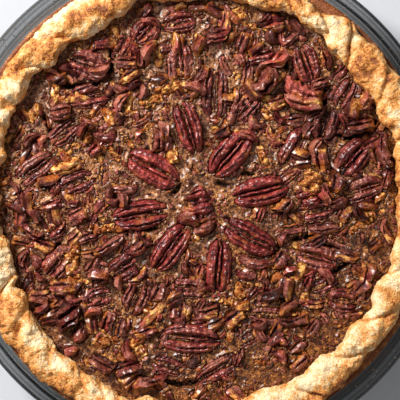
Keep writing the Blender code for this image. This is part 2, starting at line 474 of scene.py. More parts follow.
class Surface(Wiring):
    """The nodes of one material."""

    def __init__(self, name: str, effects: EffectLibrary) -> None:
        """Starts the material with its Principled shader."""
        self.material = bpy.data.materials.new(name)
        self.material.use_nodes = True
        super().__init__(self.material.node_tree)
        self.effects = effects
        self.shader = self.tree.nodes["Principled BSDF"]

    def speckle(self, scale: float, low: float, high: float, detail: float) -> Socket:
        """A patch mask: scale is patches a metre, and low and high are the edges of its rise."""
        inputs = {"Scale": scale, "Detail": detail, "Low": low, "High": high}
        return self._placed(self.effects.speckle, inputs)

    def crinkle(self, scale: float, strength: float, depth: float) -> Socket:
        """A fine relief as a normal: scale is bumps a metre, and depth is in metres."""
        return self._placed(self.effects.crinkle, {"Scale": scale, "Strength": strength, "Depth": depth})

    def _placed(self, group: Tree, inputs: dict[str, float]) -> Socket:
        """Places a group with its own values and gives its first output."""
        return self.node("ShaderNodeGroup", inputs, node_tree=group).outputs[0]

    def slope(self, x: float, y: float) -> Socket:
        """A value that rises steadily across the pie, by x and y for each metre along those axes, for
        painting light that falls from one side.
        """
        inputs = {0: self.place(), 1: (x, y, 0)}
        return self.node("ShaderNodeVectorMath", inputs, operation="DOT_PRODUCT").outputs["Value"]

    def place(self) -> Socket:
        """The place of each point, in the piece's own coordinates."""
        return self.node("ShaderNodeTexCoord").outputs["Object"]

    def attribute(self, name: str) -> Socket:
        """The value that a piece stores at each point under a name."""
        return self.node("ShaderNodeAttribute", attribute_name=name).outputs["Fac"]

    def plug(self, **inputs: object) -> None:
        """Sets or links the shader's inputs; an underscore stands for a space.

        Args:
            inputs: A plain value or another node's output for each input.
        """
        for key, value in inputs.items():
            socket = self.shader.inputs[key.replace("_", " ")]
            if isinstance(value, Socket):
                self.tree.links.new(value, socket)
            else:
                socket.default_value = value


# ---------------------------------------------------------------- finishes

Colour = tuple[float, float, float]
# Speckles: how many patches to a metre, the low and high edges of their rise, and their detail.
Speckles = tuple[float, float, float, float]
# Relief: how many bumps to a metre, their strength, and their depth in metres.
Relief = tuple[float, float, float]
# A line: how fast it rises, and where it starts.
Line = tuple[float, float]


@dataclass(frozen=True)
class GlassFinish:
    """Pressed glass, tinted by radius: nearly clear in the wall; grey in the thick flange and darker in rings
    there, as painted shade for the shadow seen under the rim and the dark lines of its edges.
    """

    wall: Colour = (0.60, 0.62, 0.60)
    flange: Colour = (0.37, 0.375, 0.375)
    shade: Colour = (0.15, 0.155, 0.15)
    first_ring: float = 112.9 * MM
    last_ring: float = 122.9 * MM
    roughness: float = 0.1
    bending: float = 1.5

    def material(self, effects: EffectLibrary) -> Material:
        """Makes the material.

        Args:
            effects: The node groups that the finishes share.

        Returns:
            The material.
        """
        surface = Surface("clear glass", effects)
        inputs = {0: surface.place(), 1: (1, 1, 0)}
        flat = surface.node("ShaderNodeVectorMath", inputs, operation="MULTIPLY").outputs[0]
        radius = surface.node("ShaderNodeVectorMath", {0: flat}, operation="LENGTH").outputs["Value"]
        inputs = {"Value": radius, 1: self.first_ring, 2: self.last_ring}
        share = surface.node("ShaderNodeMapRange", inputs).outputs[0]
        # Painted shade: the flange is tinted grey for the shadow seen under it, and darker rings stand for
        # the dark lines of its edges.
        rings = (
            (0.0, self.wall), (0.14, self.shade), (0.34, self.shade), (0.44, self.flange),
            (0.54, self.flange), (0.60, self.shade), (0.66, self.flange), (0.71, self.flange),
            (0.77, self.shade), (1.0, self.shade),
        )
        surface.plug(
            Base_Color=surface.ramp(share, rings),
            Roughness=self.roughness,
            IOR=self.bending,
            Transmission_Weight=1.0,
        )
        return surface.material


@dataclass(frozen=True)
class PastryFinish:
    """Flaky pastry, from flour white to golden to brown as its attribute of browning and painted shade goes
    from 0 to 1.
    """

    flour: Colour = (0.92, 0.70, 0.43)
    cream: Colour = (0.88, 0.61, 0.32)
    straw: Colour = (0.77, 0.40, 0.14)
    amber: Colour = (0.74, 0.30, 0.06)
    golden: Colour = (0.54, 0.185, 0.038)
    brown: Colour = (0.235, 0.066, 0.016)
    blotches: Speckles = (260, 0.3, 0.7, 3.0)
    blotch_line: Line = (0.44, -0.22)
    flecks: Speckles = (1500, 0.35, 0.7, 2.0)
    fleck_line: Line = (0.36, -0.18)
    rough_line: Line = (0.25, 0.42)
    specular: float = 0.4
    relief: Relief = (1100, 0.9, 0.9 * MM)

    def material(self, effects: EffectLibrary) -> Material:
        """Makes the material.

        Args:
            effects: The node groups that the finishes share.

        Returns:
            The material.
        """
        surface = Surface("baked pastry", effects)
        blotch = surface.line(surface.speckle(*self.blotches), *self.blotch_line)
        fleck = surface.speckle(*self.flecks)
        bake = surface.plus(surface.attribute("bake"), blotch)
        bake = surface.plus(bake, surface.line(fleck, *self.fleck_line), clamp=True)
        stops = (
            (0.0, self.flour), (0.12, self.cream), (0.36, self.straw),
            (0.56, self.amber), (0.76, self.golden), (1.0, self.brown),
        )
        surface.plug(
            Base_Color=surface.ramp(bake, stops),
            Roughness=surface.line(fleck, *self.rough_line),
            Specular_IOR_Level=self.specular,
            Normal=surface.crinkle(*self.relief),
        )
        return surface.material


@dataclass(frozen=True)
class CustardFinish:
    """Baked sugar custard: caramel skin, painted lighter and with a pale painted sheen towards the upper
    left, and painted dark as shade in its pits, pores and cracks.
    """

    # Painted shade in the pits and cracks.
    pit: Colour = (0.012, 0.004, 0.002)
    dark: Colour = (0.055, 0.013, 0.004)
    middle: Colour = (0.25, 0.074, 0.013)
    pale: Colour = (0.80, 0.32, 0.05)
    haze: Colour = (0.50, 0.29, 0.20)
    patches: Speckles = (75, 0.3, 0.7, 3.0)
    patch_share: float = 0.32
    grains: Speckles = (520, 0.3, 0.72, 3.0)
    grain_line: Line = (0.52, -0.1)
    specks: Speckles = (1300, 0.35, 0.7, 2.0)
    speck_share: float = 0.42
    # Painted light: lighter towards the upper left.
    tone_slope: Line = (-0.4, 0.5)
    # Painted sheen: a pale haze towards the upper left, where the window light glances.
    haze_slope: Line = (-1.8, 2.8)
    haze_start: float = 0.36
    # Painted shade: small dark spots for the shade in the pores.
    holes: Speckles = (560, 0.6, 0.66, 1.0)
    hole_share: float = 0.95
    rough_line: Line = (0.25, 0.3)
    specular: float = 0.12
    glaze: float = 0.65
    glaze_roughness: float = 0.3
    relief: Relief = (1000, 1.0, 1.8 * MM)

    def material(self, effects: EffectLibrary) -> Material:
        """Makes the material.

        Args:
            effects: The node groups that the finishes share.

        Returns:
            The material.
        """
        surface = Surface("baked custard", effects)
        grain = surface.speckle(*self.grains)
        tone = surface.line(grain, *self.grain_line)
        tone = surface.line(surface.speckle(*self.patches), self.patch_share, tone)
        tone = surface.line(surface.speckle(*self.specks), self.speck_share, tone)
        # Painted light: the tone is lighter towards the upper left.
        tone = surface.plus(tone, surface.slope(*self.tone_slope))
        colour = surface.ramp(tone, ((0.1, self.dark), (0.52, self.middle), (1.0, self.pale)))
        # Painted sheen: pale towards the upper left, broken up by the grain.
        share = surface.plus(surface.slope(*self.haze_slope), self.haze_start)
        share = surface.times(share, grain, clamp=True)
        colour = surface.blend(share, colour, self.haze)
        # Painted shade: small dark spots for the shade in the pores.
        holes = surface.times(surface.speckle(*self.holes), self.hole_share)
        colour = surface.blend(holes, colour, self.dark)
        # Painted shade: the pits and cracks are coloured near black.
        colour = surface.blend(surface.attribute("depth"), colour, self.pit)
        surface.plug(
            Base_Color=colour,
            Roughness=surface.line(grain, *self.rough_line),
            Specular_IOR_Level=self.specular,
            Normal=surface.crinkle(*self.relief),
            Coat_Weight=self.glaze,
            Coat_Roughness=self.glaze_roughness,
        )
        return surface.material


@dataclass(frozen=True)
class PecanFinish:
    """Syrup-glazed pecan: red skin, brown where toasted, and amber flesh where the flesh attribute is 1."""

    bed: float
    skin_dark: Colour = (0.03, 0.003, 0.003)
    skin: Colour = (0.165, 0.014, 0.014)
    skin_light: Colour = (0.52, 0.085, 0.065)
    flesh: Colour = (0.95, 0.50, 0.13)
    flesh_dark: Colour = (0.36, 0.085, 0.014)
    toast_dark: Colour = (0.032, 0.008, 0.005)
    toast: Colour = (0.18, 0.048, 0.031)
    toast_light: Colour = (0.52, 0.20, 0.135)
    rust: Colour = (0.42, 0.105, 0.022)
    # Painted shade in the grooves and creases.
    char: Colour = (0.012, 0.003, 0.002)
    syrup: Colour = (0.15, 0.036, 0.011)
    mottles: Speckles = (260, 0.3, 0.7, 3.0)
    mottle_share: float = 0.42
    streaks: Speckles = (900, 0.3, 0.7, 2.0)
    streak_share: float = 0.34
    flecks: Speckles = (1500, 0.5, 0.75, 2.0)
    own_line: Line = (0.5, -0.09)
    # Painted light: lighter towards the upper left.
    tone_slope: Line = (-0.2, 0.3)
    worn_patches: Speckles = (190, 0.52, 0.72, 3.0)
    worn_line: Line = (1.7, -0.35)
    toasted_patches: Speckles = (130, 0.3, 0.62, 3.0)
    toasted_share: float = 0.85
    flesh_patches: Speckles = (420, 0.62, 0.42, 3.0)
    film_patches: Speckles = (170, 0.35, 0.75, 3.0)
    film_line: Line = (3.4 * MM, 0.2 * MM)
    film_rise: float = 0.8 / MM
    film_cover: Line = (0.5, 0.3)
    rough_line: Line = (0.3, 0.3)
    specular: float = 0.1
    glaze: float = 0.9
    glaze_roughness: float = 0.3
    relief: Relief = (1000, 1.0, 1.3 * MM)

    def skin_colour(
        self, surface: Surface, own: Socket, tone: Socket
    ) -> Socket:
        """The skin: crimson or toasted brown, with rusty patches where it has worn.

        Args:
            surface: The material in the making.
            own: The piece's own shade.
            tone: The shade at each point.

        Returns:
            The colour.
        """
        red = surface.ramp(tone, ((0.1, self.skin_dark), (0.5, self.skin), (0.95, self.skin_light)))
        worn = surface.line(own, *self.worn_line)
        worn = surface.times(surface.speckle(*self.worn_patches), worn, clamp=True)
        brown = surface.ramp(tone, ((0.1, self.toast_dark), (0.5, self.toast), (0.95, self.toast_light)))
        toasted = surface.times(surface.attribute("toast"), surface.speckle(*self.toasted_patches))
        skin = surface.blend(surface.times(toasted, self.toasted_share), red, brown)
        return surface.blend(worn, skin, self.rust)

    def film(self, surface: Surface, streak: Socket) -> Socket:
        """How thickly the custard's syrup covers each point: most near the bed, up to a ragged line.

        Args:
            surface: The material in the making.
            streak: A mask of fine streaks.

        Returns:
            The cover, 0 to 1.
        """
        height = surface.node("ShaderNodeSeparateXYZ", {0: surface.place()}).outputs["Z"]
        rise, start = self.film_line
        reach = surface.line(surface.speckle(*self.film_patches), rise, self.bed + start)
        wet = surface.times(surface.math("SUBTRACT", reach, height), self.film_rise, clamp=True)
        return surface.times(wet, surface.line(streak, *self.film_cover))

    def material(self, effects: EffectLibrary) -> Material:
        """Makes the material.

        Args:
            effects: The node groups that the finishes share.

        Returns:
            The material.
        """
        surface = Surface("glazed pecan", effects)
        streak = surface.speckle(*self.streaks)
        own = surface.plus(surface.attribute("tone"), surface.attribute("luck"))
        tone = surface.line(own, *self.own_line)
        tone = surface.line(surface.speckle(*self.mottles), self.mottle_share, tone)
        tone = surface.line(streak, self.streak_share, tone)
        # Painted light: the tone is lighter towards the upper left.
        tone = surface.plus(tone, surface.slope(*self.tone_slope))
        flesh = surface.ramp(tone, ((0.25, self.flesh_dark), (0.8, self.flesh)))
        flesh = surface.blend(surface.speckle(*self.flesh_patches), flesh, self.flesh_dark)
        skin = self.skin_colour(surface, own, tone)
        colour = surface.blend(surface.attribute("flesh"), skin, flesh)
        # Painted shade: the grooves and creases are coloured near black.
        colour = surface.blend(surface.attribute("groove"), colour, self.char)
        colour = surface.blend(self.film(surface, streak), colour, self.syrup)
        surface.plug(
            Base_Color=colour,
            Roughness=surface.line(surface.speckle(*self.flecks), *self.rough_line),
            Specular_IOR_Level=self.specular,
            Normal=surface.crinkle(*self.relief),
            Coat_Weight=self.glaze,
            Coat_Roughness=self.glaze_roughness,
        )
        return surface.material


# ---------------------------------------------------------------- the glass plate


@dataclass
class GlassPlate:
    """The pie plate: one profile turned about the Z axis."""

    radius: float
    height: float
    mouth: float = 114.4 * MM
    base: float = 92 * MM
    thickness: float = 4.8 * MM
    flange: float = 4.6 * MM
    around: int = 192

    def profile(self) -> list[tuple[float, float]]:
        """The half section, as (radius, height) points from the underside's centre to the floor's.

        Returns:
            The points, in metres.
        """
        top, under, edge = self.height, self.height - self.flange, self.radius
        return [
            (0, 0.6 * MM),
            (self.base - 14 * MM, 0.6 * MM),
            (self.base - 12 * MM, 0),
            (self.base - 2 * MM, 0),
            (self.base + 1 * MM, 0.8 * MM),
            (self.base + 3 * MM, 3.0 * MM),
            (self.base + 8.4 * MM, 12 * MM),
            (self.mouth + 2.0 * MM, under - 0.6 * MM),
            (self.mouth + 3.0 * MM, under),
            (edge - 3.2 * MM, under + 0.1 * MM),
            (edge - 1.4 * MM, under + 0.1 * MM),
            (edge - 0.4 * MM, under + 0.8 * MM),
            (edge, under + 2.1 * MM),
            (edge - 0.3 * MM, top - 0.8 * MM),
            (edge - 1.0 * MM, top),
            (edge - 1.8 * MM, top),
            (edge - 2.6 * MM, top - 0.12 * MM),
            (edge - 3.4 * MM, top - 0.02 * MM),
            (edge - 4.4 * MM, top - 0.14 * MM),
            (edge - 5.4 * MM, top - 0.14 * MM),
            (self.mouth + 1.0 * MM, top - 0.14 * MM),
            (self.mouth - 0.9 * MM, top - 2.4 * MM),
            (self.base + 4 * MM, self.thickness + 7 * MM),
            (self.base + 0.2 * MM, self.thickness + 1.6 * MM),
            (self.base - 2 * MM, self.thickness),
            (0, self.thickness),
        ]

    def turning_tree(self) -> Tree:
        """The Geometry Nodes tree that turns a profile lying in the XZ plane about the Z axis.

        Returns:
            The tree.
        """
        tree = Growth("turned_profile", {"Steps": 64})
        inputs = {"Resolution": tree.given["Steps"], "Radius": 1.0}
        axis = tree.node("GeometryNodeCurvePrimitiveCircle", inputs)
        profile = tree.node("GeometryNodeMeshToCurve", {"Mesh": tree.given["Geometry"]})
        inputs = {"Curve": axis.outputs[0], "Profile Curve": profile.outputs[0]}
        turned = tree.node("GeometryNodeCurveToMesh", inputs)
        inputs = {"Geometry": turned.outputs[0], "Distance": WELD}
        return tree.finished(tree.node("GeometryNodeMergeByDistance", inputs).outputs[0])

    def build(self, material: Material) -> Object:
        """Turns the profile and gives the finished plate.

        Args:
            material: Its finish.

        Returns:
            The plate.
        """
        mesh = bpy.data.meshes.new("plate profile")
        points = [(radius - 1.0, -height, 0) for radius, height in self.profile()]
        mesh.from_pydata(points, [(i, i + 1) for i in range(len(points) - 1)], [])
        seed = added("plate profile", mesh)
        inputs = {"Steps": self.around, "Material": material}
        plate = grown(seed, self.turning_tree(), inputs, "glass_plate")
        plate.data.set_sharp_from_angle(angle=math.radians(25))
        return plate


def grown(
    seed: Object, tree: Tree, inputs: dict[str, object], name: str
) -> Object:
    """Runs a Geometry Nodes tree on an object and keeps the result as a plain mesh.

    Args:
        seed: The object that the tree starts from. It is removed.
        tree: The tree.
        inputs: The tree's inputs by name.
        name: The new object's name.

    Returns:
        The new object, at the origin, with no modifier.
    """
    modifier = seed.modifiers.new("growth", "NODES")
    modifier.node_group = tree
    for item in tree.interface.items_tree:
        if item.item_type == "SOCKET" and item.in_out == "INPUT" and item.name in inputs:
            modifier[item.identifier] = inputs[item.name]
    bpy.context.view_layer.update()
    graph = bpy.context.evaluated_depsgraph_get()
    mesh = bpy.data.meshes.new_from_object(seed.evaluated_get(graph), depsgraph=graph)
    bpy.data.objects.remove(seed)
    faced_outwards(mesh)
    mesh.name = name
    return added(name, mesh)


# ---------------------------------------------------------------- the pastry


@dataclass(frozen=True)
class Fold:
    """A crease across the pastry rim, where one pinch of the fingers overlaps the next."""

    angle: float
    slant: float = 5.0
    depth: float = 1.6 * MM
    step: float = 0.5 * MM


@dataclass(frozen=True)
class Scorch:
    """A patch of the rim that browned more or less than the rest; across is 0 inside and 1 outside."""

    angle: float
    across: float
    spread: float
    strength: float


# The rim's inner and outer edges, as (angle, radius in millimetres) pairs.
INNER_EDGE = (
    (5, 94.5), (12.5, 95.7), (18.5, 98.0), (24.4, 94.0), (30.7, 96.2), (37.8, 93.8), (44.6, 94.8),
    (49.7, 95.2), (53.1, 98.4), (57, 97.4), (64.8, 99.0), (69.4, 96.0), (77.7, 96.0), (85, 98.0),
    (92, 95.0), (99, 95.8), (106.2, 98.9), (112, 94.7), (121.8, 92.6), (131, 96.4), (136.2, 93.6),
    (142.8, 98.3), (148.3, 95.7), (155.2, 97.0), (161.2, 96.1), (166.8, 93.5), (173, 96.6), (179, 93.0),
    (185, 95.4), (191.5, 91.8), (196.3, 91.0), (202.8, 92.5), (204.8, 95.2), (208.2, 92.4), (214.5, 95.1),
    (223.1, 95.7), (227.7, 97.5), (231.5, 95.9), (238.3, 97.4), (244.8, 97.6), (250.3, 100.0), (256, 95.6),
    (263, 97.0), (270, 94.4), (276, 97.2), (281.6, 96.2), (288.6, 94.5), (298.7, 96.6), (308.6, 93.8),
    (313.4, 96.6), (321.2, 93.7), (327.1, 97.0), (334.1, 93.2), (341.7, 96.6), (344.7, 94.5), (351.6, 96.4),
    (357, 94.2),
)
OUTER_EDGE = (
    (4, 110.5), (18, 111.2), (31.6, 112.0), (39.1, 111.4), (45.6, 110.0), (48.6, 112.4), (57.2, 107.4),
    (66, 110.4), (78, 111.4), (92, 110.0), (106, 110.8), (120, 111.4), (133, 110.4), (148, 110.8),
    (160, 109.4), (172, 111.0), (186, 110.2), (200, 111.6), (214.7, 113.2), (219, 111.8), (228.4, 113.4),
    (234, 111.2), (246, 112.2), (258, 110.4), (272, 111.4), (286, 110.6), (302.9, 112.2), (311, 110.4),
    (317.8, 109.2), (326, 110.0), (336, 109.6), (348, 111.0),
)
FOLDS = tuple(Fold(*row) for row in (
    (18.5, 6), (30.7, 8, 1.2 * MM), (44.6, 7, 2.0 * MM, 0.8 * MM), (53.5, 5), (65, 6), (78, 7), (91, 6),
    (106.2, 5), (131, 7, 2.4 * MM, 0.9 * MM), (142.8, 9, 1.8 * MM), (155.2, 8, 1.3 * MM), (168, 7),
    (180, 6), (192, 6), (204.6, 8, 2.0 * MM, 0.4 * MM), (215, 7, 1.2 * MM), (227.7, 8, 1.6 * MM),
    (238.5, 8), (250.3, 6, 1.8 * MM), (263, 6), (275, 7), (287, 6, 1.2 * MM), (298.7, 8),
    (313.4, 8, 1.8 * MM), (327.1, 8, 2.0 * MM), (341.7, 7, 1.8 * MM), (351.6, 5, 1.3 * MM), (6, 6),
))
SCORCHES = tuple(Scorch(*row) for row in (
    (117, 0.70, 6, 0.3), (124, 0.62, 5, 0.22), (115, 0.35, 5, 0.3), (129, 0.55, 5, 0.34),
    (121, 0.45, 7, 0.12), (135, 0.45, 4, 0.3), (139.5, 0.85, 4, 0.25), (144, 0.6, 4, 0.25),
    (112, 0.95, 5, -0.45), (123, 0.98, 6, -0.5), (134, 0.9, 3, -0.3), (121, 0.15, 5, -0.25),
    (140, 0.3, 3, -0.3), (149, 0.4, 4, -0.35), (51, 0.5, 5, -0.45), (55, 0.3, 4, -0.3), (40, 0.6, 4, 0.45),
    (28, 0.7, 4, 0.3), (34, 0.25, 4, -0.3), (22, 0.4, 4, -0.2), (14, 0.6, 4, 0.2), (332, 0.5, 4, 0.3),
    (324, 0.9, 4, 0.25), (314, 0.9, 5, 0.35), (306, 0.98, 5, 0.4), (298, 0.85, 5, 0.3),
    (331, 0.15, 5, -0.35), (320, 0.3, 5, -0.3), (309, 0.2, 6, -0.32), (299, 0.2, 6, -0.3),
    (290, 0.3, 5, -0.25), (343, 0.3, 5, -0.3), (352, 0.4, 5, -0.3), (206, 0.9, 5, 0.5), (214, 0.95, 5, 0.4),
    (224, 0.95, 5, 0.5), (236, 0.9, 5, 0.45), (209, 0.4, 4, 0.3), (220, 0.4, 4, -0.4), (230, 0.35, 4, -0.4),
    (241, 0.35, 4, -0.3), (197, 0.4, 5, -0.4), (201, 0.8, 4, 0.35), (246, 0.8, 4, 0.3), (6, 0.15, 6, 0.5),
    (22, 0.1, 7, 0.2), (24, 0.95, 8, -0.35), (36, 0.15, 7, 0.35), (37, 0.5, 6, 0.2), (66, 0.5, 6, 0.4),
    (113, 1.0, 7, -0.45), (127, 1.0, 7, -0.35), (128, 0.5, 6, -0.2), (142, 0.5, 6, 0.2),
    (158, 0.5, 6, -0.2), (202, 0.5, 5, -0.25), (233, 0.5, 6, 0.25), (248, 0.9, 6, 0.15),
    (275, 0.3, 9, -0.1), (292, 0.95, 6, 0.3), (320, 0.95, 7, -0.25), (337, 0.95, 6, -0.1),
    (352, 0.15, 6, 0.2),
))


def around_the_rim(edge: tuple[tuple[float, float], ...], angles: Array) -> Array:
    """The radius in metres of a rim edge at each angle, eased between its stated points.

    Args:
        edge: (angle, radius in millimetres) pairs in order.
        angles: The angles, in degrees.

    Returns:
        The radii.
    """
    stops = np.array([pair[0] for pair in edge] + [edge[0][0] + 360.0])
    radii = np.array([pair[1] for pair in edge] + [edge[0][1]]) * MM
    angles = (angles - stops[0]) % 360 + stops[0]
    index = np.clip(np.searchsorted(stops, angles, side="right") - 1, 0, len(stops) - 2)
    share = (angles - stops[index]) / (stops[index + 1] - stops[index])
    share = share * share * (3 - 2 * share)
    return radii[index] * (1 - share) + radii[index + 1] * share


def turn_between(angles: Array | float, other: float) -> Array | float:
    """The signed angle from another angle, between -180 and 180."""
    return (angles - other + 180) % 360 - 180


@dataclass
class PastryCrust:
    """The crust: a lining in the plate, and a rolled and pinched rim."""

    top: float
    lining: GlassPlate
    around: int = 1400
    over: int = 50
    gap: float = 0.5 * MM
    courses: tuple[float, ...] = (12 * MM, 19 * MM, 26 * MM, 30 * MM)
    ledge: float = 33.3 * MM
    waist: float = 35.6 * MM
    headroom: float = 1.9 * MM
    first_arch: float = -40.0
    last_arch: float = 214.0
    rim_radius: float = 102 * MM
    crease_width: float = 0.9 * MM
    fold_width: float = 3.6 * MM
    floor: float = 9 * MM
    middle: float = 60 * MM
    tone: float = 0.44

    def wall(self, height: float) -> float:
        """The radius of the lining's outside at a height."""
        plate = self.lining
        share = (height - plate.thickness) / (plate.height - plate.thickness)
        return plate.base + share * (plate.mouth - plate.base) - self.gap

    def swell(self, angles: Array, across: Array) -> tuple[Array, Array]:
        """How the folds shape the rim.

        Args:
            angles: The angle of each point.
            across: Each point's place across the rim, 0 inside to 1 outside.

        Returns:
            The height that the folds add or take at each point in metres, and a mask of the creases.
        """
        height = np.zeros_like(angles)
        crease = np.zeros_like(angles)
        for fold in FOLDS:
            turn = turn_between(angles, fold.angle) - fold.slant * (across - 0.35)
            gap = np.radians(turn) * self.rim_radius
            cut = np.exp(-((gap / self.crease_width) ** 2))
            wide = np.exp(-((gap / self.fold_width) ** 2))
            height -= fold.depth * (0.6 * cut + 0.75 * wide)
            height += 1.7 * fold.step * np.tanh(gap / (0.7 * MM)) * np.exp(-np.abs(gap) / (5 * MM))
            crease = np.maximum(crease, cut * min(1.0, fold.depth / (2 * MM)))
        return height, crease

    def bake(
        self, points: Array, angles: Array, across: Array, crease: Array
    ) -> Array:
        """How dark each point of the rim is coloured, 0 to 1: how far it has browned, with painted shade in
        the creases.

        Args:
            points: The points.
            angles: The angle of each point.
            across: Each point's place across the rim, 0 inside to 1 outside.
            crease: Where the creases are.

        Returns:
            One value for each point.
        """
        tone = self.tone + 0.36 * layered_noise(points, 8 * MM, 5, 2)
        tone += 0.22 * layered_noise(points, 2.4 * MM, 6, 2)
        for scorch in SCORCHES:
            along = turn_between(angles, scorch.angle) / scorch.spread
            side = (across - scorch.across) / 0.3
            tone += scorch.strength * np.exp(-(along**2) - side**2)
        # Painted shade: the creases are coloured darker.
        tone += 0.25 * crease
        return np.clip(tone, 0, 1)

    def crags(self, place: Array) -> tuple[Array, Array]:
        """The rough relief of the rim: lumps, torn flakes and small holes.

        Args:
            place: The smooth rim's points.

        Returns:
            How far each point is pushed out in metres, and how much darker its place is coloured, about -1 to
            1: browner on knobs and flake edges, and darker in the holes as painted shade.
        """
        lump = layered_noise(place, 9 * MM, 1, 2)
        knob = layered_noise(place, 4.2 * MM, 2, 2)
        flake = layered_noise(place + 1.5 * MM * knob[:, None], 5.5 * MM, 3, 2) * 3.2
        terrace = np.floor(flake) + smooth_step(flake - np.floor(flake), 0.72, 1.0)
        grit = layered_noise(place, 1.7 * MM, 4, 2)
        hole = smooth_step(layered_noise(place, 3.2 * MM, 8, 1), 0.42, 0.62)
        bump = MM * (0.8 * lump + 0.6 * knob + 0.42 * terrace + 0.25 * grit - 0.55 * hole)
        edge = smooth_step(flake - np.floor(flake), 0.55, 0.85)
        # Painted shade: the holes are coloured darker.
        return bump, 0.5 * knob + 0.6 * edge - 0.3 + 0.5 * hole + 0.4 * grit

    def solid(self) -> Solid:
        """The whole crust as one closed skin, from the lining's underside over the rim to its floor.

        Returns:
            The solid.
        """
        angle = np.arange(self.around) * 360 / self.around
        turn = np.radians(angle)
        inner, outer = around_the_rim(INNER_EDGE, angle), around_the_rim(OUTER_EDGE, angle)
        loops, bake_and_shade_rows = [], []

        def ring(radius: Array | float, height: Array | float, bake: Array | float) -> None:
            """Adds a loop round the pie, with how dark it is coloured.

            Args:
                radius: Its radius.
                height: Its height.
                bake: How dark it is coloured, from browning and painted shade.
            """
            radius = np.broadcast_to(radius, angle.shape)
            height = np.broadcast_to(height, angle.shape)
            loops.append(np.stack([radius * np.cos(turn), radius * np.sin(turn), height], axis=1))
            bake_and_shade_rows.append(np.broadcast_to(bake, angle.shape))

        base = self.lining.thickness + self.gap
        for radius in (self.middle, self.wall(base) - 3 * MM):
            ring(radius, base, 0.55)
        for height in (base + 1.5 * MM, *self.courses):
            ring(self.wall(height), height, 0.6)
        circle = np.stack([np.cos(turn), np.sin(turn), turn * 0], 1) * 0.11
        ragged = 0.8 * MM * layered_noise(circle, 5 * MM, 12, 2)
        # The strip of pastry against the glass is coloured darkest brown: its browning, and painted shade
        # where it lies in the shadow against the glass.
        for height in (31.5 * MM, self.ledge):
            ring(self.wall(height) + 0.4 * MM - np.abs(ragged) * 0.4, height + ragged * 0.6, 1.0)
        ring(outer + 0.45 * (self.wall(self.ledge) - outer), self.ledge - 0.8 * MM + ragged * 0.4, 1.2)
        for arch in np.radians(np.linspace(self.last_arch, self.first_arch, self.over)):
            across = np.full_like(angle, (1 - math.cos(arch)) / 2)
            half = (outer - inner) / 2
            lift, crease = self.swell(angle, across)
            side = math.copysign(abs(math.cos(arch)) ** 0.85, math.cos(arch))
            rise = math.copysign(abs(math.sin(arch)) ** 0.8, math.sin(arch))
            middle = (outer + inner) / 2
            full = (self.top - self.waist) - self.headroom
            radius = middle - half * side
            height = np.full_like(angle, self.waist + full * rise)
            place = np.stack([radius * np.cos(turn), radius * np.sin(turn), height], axis=1)
            bump, browning_and_hole_shade = self.crags(place)
            reach = lift * max(rise, 0.25) + bump
            radius = radius - reach * side * 0.9
            height = np.minimum(height + reach * rise, self.top - 0.05 * MM)
            # Darker in the creases and holes as painted shade, and browner on knobs and flake edges.
            browned = self.bake(place, angle, across, crease) + 0.3 * browning_and_hole_shade
            # Darker towards the bottom of the roll's outer side.
            if side < 0 and rise < 0:
                browned -= 2.0 * rise
            ring(radius, height, np.clip(browned, 0, 1))
        ring(100.5 * MM, 27 * MM, 0.5)
        ring(self.wall(10 * MM) - 6 * MM, self.floor, 0.5)
        ring(self.middle, self.floor, 0.5)
        return Solid.loft(np.array(loops), {"bake": np.array(bake_and_shade_rows)}, ((0, 0, base), (0, 0, self.floor)))

    def build(self, material: Material) -> Object:
        """Makes the finished crust."""
        return self.solid().piece("pastry_crust", material)


# ---------------------------------------------------------------- the pecans


class Cut(Enum):
    """What is left of a pecan half: (its stretch lengthwise, its stretch crosswise), each -1 to 1."""

    WHOLE = ((-1.0, 1.0), (-1.0, 1.0))
    SNAPPED = ((-1.0, 0.55), (-1.0, 1.0))
    BROKEN = ((-0.5, 0.5), (-1.0, 1.0))
    LOBE = ((-0.95, 0.95), (-1.0, -0.22))
    CHIP = ((-0.45, 0.4), (-0.95, 0.25))
    FLESH = ((-0.7, 0.7), (-0.6, 0.6))


KNIFE_CUTS = {Cut.WHOLE: 0, Cut.SNAPPED: 1, Cut.BROKEN: 2, Cut.LOBE: 3, Cut.CHIP: 5, Cut.FLESH: 6}


